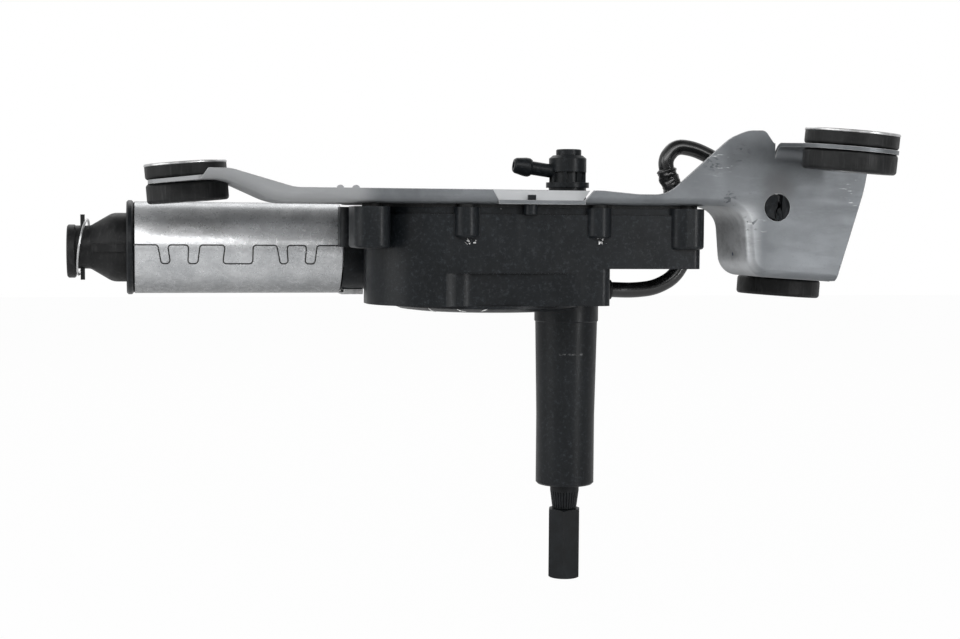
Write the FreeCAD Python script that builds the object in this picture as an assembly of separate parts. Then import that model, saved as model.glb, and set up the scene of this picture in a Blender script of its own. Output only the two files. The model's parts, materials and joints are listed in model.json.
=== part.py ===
"""Rear wiper motor with a reversing gearbox, rubber mounts, a long output tube and a washer feed.

Millimetres. X runs along the motor from its rubber nose to the bracket, Y runs away from the
viewer and Z is up. The output shaft is the Z axis, pointing down, and Z = 0 is the underside of
the gear housing, where the output tube leaves it.
"""
import FreeCAD, Part
import math
import os

# Sheet metal bracket
SHEET = 1.6
BOUND = 200.0
FACE_Y = -46.8
PLATE_Z = 40.8
PLATE_BACK_Y = 46.0
BEND_R = 1.6
FLANGE_H = 5.7
BACK_FLANGE_H = 7.8
ARM_FOOT_X = -127.0
ARM_RISE_RUN = 20.5
ARM_RISE_X = ARM_FOOT_X - ARM_RISE_RUN
ARM_START_RUN = 8.7
ARM_START_X = ARM_RISE_X - ARM_START_RUN
ARM_RISE = 9.1
SIDE_WALL_X = 62.0
SIDE_WALL_LEAN = 2.5
FOOT_FLANGE_Z = 12.3
FOOT_FLANGE_SLOPE = 0.0647
SIDE_WALL_BACK_Y = -12.0
PLATE_END_X = 44.0
FACE_END_X = 116.0
UPPER_BEND_R = 5.0
NOTCH_TOP_X = (-42.9, -1.4)
NOTCH_LOW_X = (-40.5, -5.1)
NOTCH_TAB_LEAN = 3.2
NUB_X = (-103.1, -97.0)
NUB_R = 1.45
BRACKET_LEFT_X = -92.0
CLIP_HOLE = (76.3, 40.4)
CLIP_HOLE_R = 5.6

# Rubber mounts: centre of the sheet inside each, and radius of its rubber
MOUNT_LEFT_XY = (-160.5, -8.0)
MOUNT_UPPER = (93.5, -78.0, 63.0)
MOUNT_LOWER_XY = (100.4, 8.0)
LEFT_SLOPE = 0.0787
UPPER_SLOPE_X = 0.0716
UPPER_SLOPE_Y = 0.055
RUBBER_R = 16.3
RUBBER_BIG_R = 18.2
RUBBER_LOW_H = 8.0
RUBBER_TOP_H = 5.2
RUBBER_EDGE_R = 1.4
GROMMET_NECK_R = 10.9
NECK_CLEARANCE = 0.1
LUG_LIP = 1.0
LUG_SIDE_LIP = 0.3
LUG_SHIFT = (-1.56, -0.9)
BUSH_R = 7.0
BUSH_BORE_R = 4.2
BUSH_HEAD_T = 1.1
BUSH_HEAD_LIP = 0.2

# Gear housing
HOUSE_X0 = -88.6
MOTOR_FACE_X = -82.0
HOUSE_STEP_Y = -6.0
HOUSE_NEAR_Y = -42.0
HOUSE_FAR_Y = 42.0
HOUSE_WALL = 2.5
HOUSE_FLOOR = 2.5
HOUSE_TOP_Z = 36.7
RIM_INSET = 1.3
GASKET_T = 1.3
NEAR_CORNER_R = 28.0
MAIN_END_X = 7.0
MAIN_END_SLANT = 12.5
FOOT_X = 45.8
FOOT_Z = 15.0
FOOT_BACK_Y = 18.0
LEDGE_Z = 13.2
LEDGE_DEPTH = 3.0
DISC_R = 39.5
DISC_H = 3.0

# Locating peg in the notch
PEG_OFFSET = 3.8
PEG_W = 3.2
PEG_T = 1.3
PEG_TOP_Z = 44.5
PEG_FOOT_R = 2.8
PEG_CLEARANCE = 0.2

# Screws through the bracket into the housing bosses
SCREW_R = 1.6
SCREW_HEAD_R = 3.0
SCREW_HEAD_H = 2.2
SCREW_LEN = 12.0
SLIM_BOSS_R = 5.2
SLIM_BOSS_Z = 27.4
BIG_BOSS_R = 5.5
BIG_BOSS_Z = 23.0
BIG_BOSS_REACH = 7.4
BOSS_LINE_Y = -40.6
SLIM_BOSS_X = (-52.3, 2.2)
BIG_BOSSES = ((-97.0, -82.8, -45.9, -22.0), (32.4, 46.8, -45.9, -31.5))
BACK_BOSS = ((-76.0, 40.8), (-30.0, 40.8), (38.0, 15.0), (8.5, 33.0))

# Worm drive
MOTOR_Y = 24.0
MOTOR_Z = 22.1
WHEEL_X = -36.0
WHEEL_Y = -2.0
WHEEL_TEETH = 43
WHEEL_MODULE = 1.0
WHEEL_T = 8.0
WHEEL_HUB_R = 8.0
AXLE_R = 4.0
WORM_LEN = 28.0
MESH_GAP = 0.12
RUNNING = 0.04
CRANK_R = 7.5
PIN_R = 3.0
PIVOT_GAP = 0.3
AXLE_POST_R = 7.0
BOARD = (-66.0, -9.5, -27.0, 15.0)
BOARD_Z = 7.2
BOARD_T = 1.6

# Reversing linkage
LINK_MODULE = 1.0
PINION_TEETH = 16
SECTOR_TEETH = 28
SECTOR_TOOTH_COUNT = 8
PARK_ANGLE = 216.0
BACKLASH = 0.3
LINK_T = 4.0
ROCKER_T = 2.6
ROCKER_EYE_R = 8.0
PIVOT_EYE_R = 5.5

# Motor
YOKE_R = 19.25
YOKE_T = 1.5
YOKE_X0 = -181.7
YOKE_X1 = -95.3
YOKE_REAR_T = 2.0
SHAFT_R = 3.0
STACK_X0 = -162.0
STACK_X1 = -124.0
STACK_R = 12.4
STACK_SLOTS = 8
MAGNET_GAP = 0.95
MAGNET_SPLIT = 11.0
COMMUTATOR_X0 = -112.0
COMMUTATOR_X1 = -101.0
COMMUTATOR_R = 6.4
COMMUTATOR_BARS = 8
BRUSH_W = 5.0
BRUSH_H = 4.0
BRUSH_LEN = 6.0
NECK_HALF = 17.4
NECK_CORNER_R = 12.0
NECK_BORE_R = 9.0
BEARING_R = 9.5
BEARING_W = 7.0
REAR_BEARING_R = 6.0
REAR_BEARING_W = 6.0
SEAM_W = 0.55
SEAM_DEPTH = 0.5
SEAM_RISE = 1.3
SEAM_TOOTH_H = 7.7
SEAM_TOP_R = 1.3
SEAM_LOW_R = 1.4
SEAM_TEETH = (
    (9.8, 11.2, 14.9, 13.8),
    (22.3, 21.9, 25.9, 26.9),
    (37.1, 36.1, 48.4, 48.6),
    (58.3, 59.8, 63.1, 62.5),
    (70.7, 70.1, 74.2, 75.1),
)

# Rear cap and rubber nose
CAP_T = 2.8
CAP_LIP = 0.5
NOSE_R = 14.4
NOSE_STEP = 5.7
NOSE_CONE = 9.0
NOSE_NECK_R = 9.0
NOSE_NECK = 5.8
NOSE_END_R = 11.1
NOSE_END_T = 3.6
NOSE_END_DROP = 1.7
NOSE_WALL = 2.4
NOSE_TAB_X = (3.2, 3.25)
NOSE_TAB_REACH = 13.6
RING_WIRE_R = 0.5
RING_R = 11.6
RING_BACK = 3.1
RING_LEAN = 9.0
RING_TURN = -6.0

# Output tube and spindle
TUBE_LEN = 78.7
TUBE_TOP_R = 13.3
TUBE_END_R = 12.5
TUBE_SEAT_LEN = 30.0
TUBE_COLLAR_R = 13.7
TUBE_COLLAR_H = 8.6
COLLAR_RELIEF = 1.2
COLLAR_RELIEF_TOP = 0.6
COLLAR_SEAT = 0.4
TUBE_BORE_R = 8.0
SPIGOT_R = 11.0
SPIGOT_TOP = 6.0
BUSH_LEN = 12.0
SPINDLE_R = 5.0
SPINDLE_TOP_Z = 46.5
SPINDLE_BORE_R = 2.0
KNURL_TOP_R = 6.15
KNURL_END_R = 5.2
KNURL_LEN = 7.4
KNURL_TEETH = 30
STUD_R = 4.0
WASHER_T = 2.9
WASHER_R = 6.2
CAP_AF = 13.0
CAP_LEN = 29.8
CAP_TURN = 14.0
CAP_TIP = 0.8

# Washer feed
FITTING_R = 8.0
FITTING_BASE_R = 9.2
FITTING_BASE_Z = 48.6
FITTING_BASE_H = 2.2
FITTING_SHOULDER_Z = 61.0
FITTING_TOP_Z = 62.3
FITTING_WAIST_Z = 55.2
FITTING_WAIST_R = 6.6
FITTING_SPIGOT_R = 8.0
FITTING_RIBS = 8
TOP_CAP_R = 5.4
TOP_CAP_Z = 64.9
BARB_Z = 54.6
BARB_RISE = 0.14
BARB_R = 2.9
BARB_HEAD_R = 4.0
BARB_LEN = 24.0
BARB_HEAD_LEN = 7.6
BARB_BORE_R = 1.6
FEED_R = 1.6
FEED_BORE_R = 0.9

# Lead
LEAD_R = 3.35
LEAD_POINTS = (
    (20.4, 3.0, 4.9),
    (30.5, 3.4, 4.5),
    (40.5, 3.0, 5.6),
    (49.0, 2.6, 10.0),
    (54.4, 2.8, 18.5),
    (54.8, 3.6, 28.5),
    (52.6, 4.2, 38.0),
    (49.6, 4.4, 47.0),
    (46.4, 4.6, 54.8),
    (45.2, 4.8, 61.6),
    (50.0, 4.8, 67.4),
    (58.0, 4.2, 66.4),
    (66.4, 3.0, 62.6),
    (75.0, 1.2, 56.0),
    (76.6, -1.6, 47.0),
    (76.3, -7.5, 40.4),
    (76.3, -15.0, 40.4),
)
BOOT_X0 = 16.4
BOOT_FLANGE = 2.2
TAPE_T = 0.6
TAPE_GAP = 0.02
TAPE_FIRST_EDGE = 14
TAPE_EDGES = 3
PLUG_FRONT_Y = -44.9
PLUG_LEN = 30.2
PLUG_W = 14.0
PLUG_H = 11.0

BARREL_AXIS = FreeCAD.Vector(1, 0, 0)
UP = FreeCAD.Vector(0, 0, 1)
DOWN = FreeCAD.Vector(0, 0, -1)


def vec(x, y, z):
    return FreeCAD.Vector(x, y, z)


def rod(radius, length, base, axis=UP):
    return Part.makeCylinder(radius, length, vec(*base), axis)


def ring(outer, inner, length, base, axis=UP):
    return rod(outer, length, base, axis).cut(rod(inner, length, base, axis))


def block(x0, x1, y0, y1, z0, z1):
    return Part.makeBox(x1 - x0, y1 - y0, z1 - z0, vec(x0, y0, z0))


def fuse(shapes):
    whole = shapes[0]
    if len(shapes) > 1:
        whole = whole.fuse(shapes[1:])
    return whole.removeSplitter()


def rounded_wire(points, place):
    """Closed wire through (a, b, radius) corners, with an arc at each corner that has a radius."""
    corners = [(FreeCAD.Vector(a, b, 0), r) for a, b, r in points]
    ends = []
    for i, (corner, radius) in enumerate(corners):
        before = corners[i - 1][0]
        after = corners[(i + 1) % len(corners)][0]
        back = (before - corner).normalize()
        ahead = (after - corner).normalize()
        if radius <= 0:
            ends.append((corner, None, corner))
            continue
        half = back.getAngle(ahead) / 2
        reach = radius / math.tan(half)
        middle = (back + ahead).normalize()
        crown = corner + middle * (radius / math.sin(half) - radius)
        ends.append((corner + back * reach, crown, corner + ahead * reach))
    edges = []
    for i, (start, crown, finish) in enumerate(ends):
        if crown is not None:
            edges.append(Part.Arc(place(start), place(crown), place(finish)).toShape())
        target = ends[(i + 1) % len(ends)][0]
        if (target - finish).Length > 1e-6:
            edges.append(Part.LineSegment(place(finish), place(target)).toShape())
    return Part.Wire(edges)


def plan_solid(points, z0, z1):
    """Solid over a rounded outline in the XY plane."""
    wire = rounded_wire(points, lambda p: vec(p.x, p.y, z0))
    return Part.Face(wire).extrude(vec(0, 0, z1 - z0))


def side_solid(points, y0, y1):
    """Solid over a rounded outline in the XZ plane."""
    wire = rounded_wire(points, lambda p: vec(p.x, y0, p.y))
    return Part.Face(wire).extrude(vec(0, y1 - y0, 0))


def revolved(profile, base, axis):
    """Solid of revolution of (along, radius) points, some with a corner radius, about an axis."""
    start = vec(*base)
    side = axis.cross(vec(0.13, 0.71, 0.41)).normalize()
    corners = [(p[0], p[1], p[2] if len(p) > 2 else 0) for p in profile]
    wire = rounded_wire(corners, lambda q: start + axis * q.x + side * q.y)
    return Part.Face(wire).revolve(start, axis, 360)


def moved_to(shape, centre, normal):
    """Carries a shape made about +Z at the origin to a centre and a new axis."""
    turn = FreeCAD.Rotation(UP, normal)
    shape.Placement = FreeCAD.Placement(vec(*centre), turn).multiply(shape.Placement)
    return shape


def offset_path(path, distance):
    """Parallel path on the left of an open path of (a, b, radius) corners."""
    points = [FreeCAD.Vector(a, b, 0) for a, b, r in path]
    result = []
    for i, point in enumerate(points):
        before = (point - points[i - 1]).normalize() if i > 0 else None
        after = (points[i + 1] - point).normalize() if i < len(points) - 1 else None
        first = before or after
        last = after or before
        normal_one = FreeCAD.Vector(-first.y, first.x, 0)
        normal_two = FreeCAD.Vector(-last.y, last.x, 0)
        mean = (normal_one + normal_two).normalize()
        turn = first.x * last.y - first.y * last.x
        radius = path[i][2]
        if radius > 0:
            radius = radius - distance if turn > 0 else radius + distance
        place = point + mean * (distance / mean.dot(normal_one))
        result.append((place.x, place.y, radius))
    return result


# Bracket


def left_underside_z(x):
    return PLATE_Z + ARM_RISE - (ARM_RISE_X - x) * LEFT_SLOPE


def foot_underside_z(x):
    return FOOT_FLANGE_Z - (x - SIDE_WALL_X - SIDE_WALL_LEAN) * FOOT_FLANGE_SLOPE


def left_mount():
    """Centre of the sheet inside the left rubber mount."""
    x, y = MOUNT_LEFT_XY
    return x, y, left_underside_z(x) + SHEET / 2 * math.hypot(1, LEFT_SLOPE)


def lower_mount():
    x, y = MOUNT_LOWER_XY
    return x, y, foot_underside_z(x) + SHEET / 2 * math.hypot(1, FOOT_FLANGE_SLOPE)


def bracket_path():
    """Underside of the pressed strip, from the left mount to the lower right one."""
    knee_z = PLATE_Z + ARM_RISE
    left_end = MOUNT_LEFT_XY[0] - RUBBER_BIG_R - 4
    right_end = MOUNT_LOWER_XY[0] + RUBBER_BIG_R + 4
    return [
        (left_end, left_underside_z(left_end), 0),
        (ARM_RISE_X, knee_z, 22.0),
        (ARM_FOOT_X, PLATE_Z, 25.0),
        (SIDE_WALL_X, PLATE_Z, 10.0),
        (SIDE_WALL_X + SIDE_WALL_LEAN, FOOT_FLANGE_Z, 9.0),
        (right_end, foot_underside_z(right_end), 0),
    ]


def bracket_half_space(path, near_y):
    """Everything above a path and behind a plane, with the bend between them rounded."""
    high = 90.0
    corners = list(path) + [(path[-1][0], high, 0), (path[0][0], high, 0)]
    return side_solid(corners, near_y, PLATE_BACK_Y)


def near_edges(solid, near_y):
    """Edges where the strip meets its near plane."""
    chosen = []
    for edge in solid.Edges:
        box = edge.BoundBox
        flat = abs(box.YMin - near_y) < 1e-4 and abs(box.YMax - near_y) < 1e-4
        low = box.ZMax < 60.0
        if flat and low:
            chosen.append(edge)
    return chosen


def face_outline():
    """Outline of the near flange and the face plate, seen from the front."""
    flange_top = PLATE_Z + FLANGE_H
    knee = PLATE_Z + ARM_RISE
    bend_x = upper_bend_x()[0]
    bend_left = upper_bend_z(bend_x)
    bend_right = upper_bend_z(FACE_END_X)
    bend_top = bend_left + UPPER_BEND_R + SHEET
    low = FOOT_FLANGE_Z - 10.0
    return [
        (ARM_START_X, knee - 3.0, 0),
        (ARM_START_X, knee - 0.6, 0),
        (ARM_START_X + 2.8, knee + 3.6, 0.6),
        (ARM_RISE_X + 2.5, knee + 3.6, 14.0),
        (ARM_FOOT_X + 6.5, flange_top, 16.0),
        (2.0, flange_top, 30.0),
        (17.0, flange_top - 1.3, 20.0),
        (29.3, flange_top - 1.3, 14.0),
        (56.0, 68.6, 16.0),
        (63.5, 71.6, 10.0),
        (70.6, 71.7, 3.0),
        (bend_x - 0.6, bend_top, 1.0),
        (bend_x, bend_top, 0),
        (bend_x + 0.01, bend_left, 0),
        (FACE_END_X, bend_right, 0),
        (114.4, 47.7, 60.0),
        (100.4, low, 0),
        (SIDE_WALL_X - 40, low, 0),
        (SIDE_WALL_X - 40, PLATE_Z - 6, 0),
        (ARM_FOOT_X, PLATE_Z - 6, 0),
    ]


def upper_normal():
    return vec(UPPER_SLOPE_X, -UPPER_SLOPE_Y, 1).normalize()


def upper_sheet_z(x, y):
    """Middle of the upper right lug's sheet."""
    cx, cy, cz = MOUNT_UPPER
    return cz - UPPER_SLOPE_X * (x - cx) + UPPER_SLOPE_Y * (y - cy)


def upper_bend_z(x):
    """Height of the bend's centre line, in front of the face plate."""
    return upper_sheet_z(x, FACE_Y - UPPER_BEND_R) - SHEET / 2 - UPPER_BEND_R


def upper_bend_x():
    """Ends of the bend between the face plate and the upper lug."""
    return MOUNT_UPPER[0] - RUBBER_BIG_R - 0.3, MOUNT_UPPER[0] + RUBBER_BIG_R + 2.5


def upper_lug():
    """Flat lug and its bend, in front of the face plate."""
    reach = RUBBER_BIG_R - LUG_SIDE_LIP
    shift_x, shift_y = LUG_SHIFT
    back = FACE_Y - UPPER_BEND_R - MOUNT_UPPER[1]
    x0, x1 = upper_bend_x()
    outline = [
        (x0 - MOUNT_UPPER[0], back, 0),
        (shift_x - reach, shift_y - reach, reach),
        (shift_x + reach, shift_y - reach, reach),
        (x1 - MOUNT_UPPER[0], back, 0),
    ]
    flat = plan_solid(outline, -SHEET / 2, SHEET / 2)
    flat = flat.cut(rod(GROMMET_NECK_R + NECK_CLEARANCE, 10, (0, 0, -5)))
    flat = moved_to(flat, MOUNT_UPPER, upper_normal())
    start = vec(x0, FACE_Y - UPPER_BEND_R, upper_bend_z(x0))
    finish = vec(x1, FACE_Y - UPPER_BEND_R, upper_bend_z(x1))
    along = finish - start
    length = along.Length
    along.normalize()
    outer = Part.makeCylinder(UPPER_BEND_R + SHEET, length, start, along)
    inner = Part.makeCylinder(UPPER_BEND_R, length, start, along)
    quarter = block(x0 - 5, x1 + 5, FACE_Y - UPPER_BEND_R - 0.001, FACE_Y + 20, -20, 20)
    quarter = quarter.cut(block(x0 - 6, x1 + 6, FACE_Y - 30, FACE_Y + 30, -20, 0))
    quarter.Placement = FreeCAD.Placement(
        vec(0, 0, 0), FreeCAD.Rotation(vec(1, 0, 0), along)
    )
    middle = (start + finish) * 0.5
    carried = quarter.Placement.multVec(vec(middle.x, middle.y, 0))
    quarter.translate(vec(0, 0, middle.z - carried.z))
    return [flat, outer.cut(inner).common(quarter)]


def plan_outline():
    left_reach = RUBBER_R - LUG_LIP
    low_reach = RUBBER_BIG_R - LUG_LIP
    lx, ly = MOUNT_LEFT_XY
    rx, ry = MOUNT_LOWER_XY
    near = FACE_Y - 1
    behind_face = FACE_Y + SHEET + 0.2
    return [
        (ARM_START_X, near, 0),
        (120.0, near, 0),
        (120.0, behind_face, 0),
        (101.0, behind_face, 0),
        (101.0, -30.0, 8.0),
        (rx + low_reach, -12.0, 8.0),
        (rx + low_reach, ry + low_reach, low_reach - 0.1),
        (rx - low_reach, ry + low_reach, low_reach - 0.1),
        (rx - low_reach, SIDE_WALL_BACK_Y, 4.0),
        (PLATE_END_X, SIDE_WALL_BACK_Y, 4.0),
        (PLATE_END_X, 24.0, 8.0),
        (22.0, PLATE_BACK_Y, 10.0),
        (BRACKET_LEFT_X, PLATE_BACK_Y, 8.0),
        (BRACKET_LEFT_X - 2, ly + left_reach, 10.0),
        (lx - left_reach, ly + left_reach, left_reach - 0.1),
        (lx - left_reach, ly - 10.0, 9.0),
        (ARM_START_X, FACE_Y + SHEET + 3.0, 4.0),
    ]


def screw_places():
    places = [(x, BOSS_LINE_Y) for x in SLIM_BOSS_X]
    for x0, x1, y0, y1 in BIG_BOSSES:
        places.append(((x0 + x1) / 2, y0 + BIG_BOSS_REACH))
    return places + list(BACK_BOSS)


def notch_prism(y0, y1):
    """The notch in the near flange, between two planes."""
    top = PLATE_Z + FLANGE_H
    outline = [
        (NOTCH_LOW_X[0], PLATE_Z + SHEET, 0),
        (NOTCH_LOW_X[1], PLATE_Z + SHEET, 0),
        (NOTCH_TOP_X[1], top, 0),
        (NOTCH_TOP_X[1], top + 1, 0),
        (NOTCH_TOP_X[0], top + 1, 0),
        (NOTCH_TOP_X[0], top, 0),
    ]
    return side_solid(outline, y0, y1)


def notch_floor():
    """Flat cut edge of the sheet in the notch, and the tab bent up behind it."""
    behind = FACE_Y + SHEET + BEND_R
    top = PLATE_Z + FLANGE_H
    strip = block(NOTCH_LOW_X[0], NOTCH_LOW_X[1], FACE_Y, behind, PLATE_Z, PLATE_Z + SHEET)
    low = PLATE_Z + SHEET / 2
    x0 = NOTCH_TOP_X[0]
    section = [
        vec(x0, behind, low),
        vec(x0, behind + NOTCH_TAB_LEAN, top),
        vec(x0, behind + NOTCH_TAB_LEAN + SHEET, top),
        vec(x0, behind + SHEET, low),
    ]
    face = Part.Face(Part.makePolygon(section + [section[0]]))
    tab = face.extrude(vec(NOTCH_TOP_X[1] - x0, 0, 0))
    tab = tab.common(notch_prism(behind - 1, behind + 3 * NOTCH_TAB_LEAN))
    return [strip, tab]


def mounting_bracket():
    path = bracket_path()
    inner_path = offset_path(path, SHEET)
    outer = bracket_half_space(path, FACE_Y)
    outer = outer.makeFillet(BEND_R + SHEET, near_edges(outer, FACE_Y))
    inner = bracket_half_space(inner_path, FACE_Y + SHEET)
    inner = inner.makeFillet(BEND_R, near_edges(inner, FACE_Y + SHEET))
    tray = outer.cut(inner)
    front = side_solid(face_outline(), FACE_Y - 1, FACE_Y + SHEET + BEND_R + 0.5)
    rest = block(-BOUND, BOUND, FACE_Y + SHEET + BEND_R + 0.5, PLATE_BACK_Y + 1, -BOUND, BOUND)
    tray = tray.common(front.fuse(rest))
    tray = tray.common(plan_solid(plan_outline(), -10, 100))
    back_flange = side_solid(
        [
            (BRACKET_LEFT_X + 8, PLATE_Z + 0.4, 0),
            (18.0, PLATE_Z + 0.4, 0),
            (13.0, PLATE_Z + BACK_FLANGE_H, 3.0),
            (BRACKET_LEFT_X + 13, PLATE_Z + BACK_FLANGE_H, 3.0),
        ],
        PLATE_BACK_Y - SHEET,
        PLATE_BACK_Y,
    )
    body = tray.cut(notch_prism(FACE_Y - 1, FACE_Y + SHEET + BEND_R))
    flange_mid = PLATE_Z + FLANGE_H - NUB_R / 4
    nubs = [rod(NUB_R, SHEET, (x, FACE_Y, flange_mid), vec(0, 1, 0)) for x in NUB_X]
    body = fuse([body, back_flange] + notch_floor()).fuse(upper_lug() + nubs)
    cuts = [peg_post(PEG_CLEARANCE)]
    cuts.append(rod(FITTING_SPIGOT_R + 0.2, 10, (0, 0, PLATE_Z - 5)))
    for x, y in screw_places():
        cuts.append(rod(SCREW_R + 0.3, 10, (x, y, PLATE_Z - 5)))
    left = rod(GROMMET_NECK_R + NECK_CLEARANCE, 8, (0, 0, -4))
    cuts.append(moved_to(left, left_mount(), left_normal()))
    low = rod(GROMMET_NECK_R + NECK_CLEARANCE, 8, (0, 0, -4))
    cuts.append(moved_to(low, lower_mount(), lower_normal()))
    hole_x, hole_z = CLIP_HOLE
    cuts.append(rod(CLIP_HOLE_R, 10, (hole_x, FACE_Y - 3, hole_z), vec(0, 1, 0)))
    return body.cut(cuts)


def left_normal():
    return vec(-LEFT_SLOPE, 0, 1).normalize()


def lower_normal():
    return vec(FOOT_FLANGE_SLOPE, 0, 1).normalize()


def grommet(centre, normal, radius, sheet):
    """Two rubber flanges joined by a neck that fills the hole in the sheet and gives round it."""
    half = SHEET / 2
    low = -half - RUBBER_LOW_H
    top = half + RUBBER_TOP_H
    edge = RUBBER_EDGE_R
    profile = [
        (low, BUSH_R),
        (low, radius, edge),
        (-half, radius, edge),
        (-half, GROMMET_NECK_R),
        (half, GROMMET_NECK_R),
        (half, radius, edge),
        (top, radius),
        (top, BUSH_R),
    ]
    rubber = moved_to(revolved(profile, (0, 0, 0), UP), centre, normal)
    return rubber.cut(sheet)


def flanged_bush(centre, normal, radius):
    """Steel tube through the rubber, with a wide washer head on top."""
    low = -SHEET / 2 - RUBBER_LOW_H
    top = SHEET / 2 + RUBBER_TOP_H
    head = radius + BUSH_HEAD_LIP
    profile = [
        (low, BUSH_BORE_R),
        (low, BUSH_R),
        (top, BUSH_R),
        (top, head - 0.3),
        (top + 0.3, head),
        (top + BUSH_HEAD_T - 0.3, head),
        (top + BUSH_HEAD_T, head - 0.3),
        (top + BUSH_HEAD_T, BUSH_BORE_R),
    ]
    return moved_to(revolved(profile, (0, 0, 0), UP), centre, normal)


def cover_screws():
    screws = []
    for x, y in screw_places():
        head_z = PLATE_Z + SHEET
        screw = rod(SCREW_HEAD_R, SCREW_HEAD_H, (x, y, head_z))
        screw = screw.makeChamfer(0.6, [screw.Edges[0]])
        slot = block(x - 2.2, x + 2.2, y - 0.5, y + 0.5, head_z + 1.2, head_z + 3)
        cross = block(x - 0.5, x + 0.5, y - 2.2, y + 2.2, head_z + 1.2, head_z + 3)
        shank = rod(SCREW_R, SCREW_LEN, (x, y, head_z - SCREW_LEN))
        screws.append(screw.cut([slot, cross]).fuse(shank))
    return Part.makeCompound(screws)


# Gear housing


def main_outline(inset, near_inset=0.0):
    """Lower part of the housing in plan, moved in by an inset."""
    i = inset
    far = HOUSE_FAR_Y - i
    near = HOUSE_NEAR_Y + i + near_inset
    slope = MAIN_END_SLANT / 56.0
    end = MAIN_END_X - i * math.hypot(1, slope)
    return [
        (HOUSE_X0 + i, near, NEAR_CORNER_R - i),
        (end + slope * (near - HOUSE_NEAR_Y), near, max(4.0 - i, 0.8)),
        (end + slope * 56.0, HOUSE_NEAR_Y + 56.0, 12.0 - i),
        (4.0, far, 14.0 - i),
        (MOTOR_FACE_X + i, far, max(6.0 - i, 0.8)),
        (MOTOR_FACE_X + i, HOUSE_STEP_Y + 6.0 - i / 2, 2.0),
        (HOUSE_X0 + i, HOUSE_STEP_Y - i / 2, 3.0),
    ]


def foot_outline(inset):
    i = inset
    return [
        (-10.0, HOUSE_NEAR_Y + i, 0),
        (FOOT_X - i, HOUSE_NEAR_Y + i, max(3.0 - i, 0.5)),
        (FOOT_X - i, FOOT_BACK_Y - i, max(5.0 - i, 0.5)),
        (-10.0, FOOT_BACK_Y - i, 0),
    ]


def upper_solid(inset, z0, z1):
    return plan_solid(main_outline(inset), z0, z1).fuse(plan_solid(foot_outline(inset), z0, z1))


def rim_top():
    return PLATE_Z - GASKET_T


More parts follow.
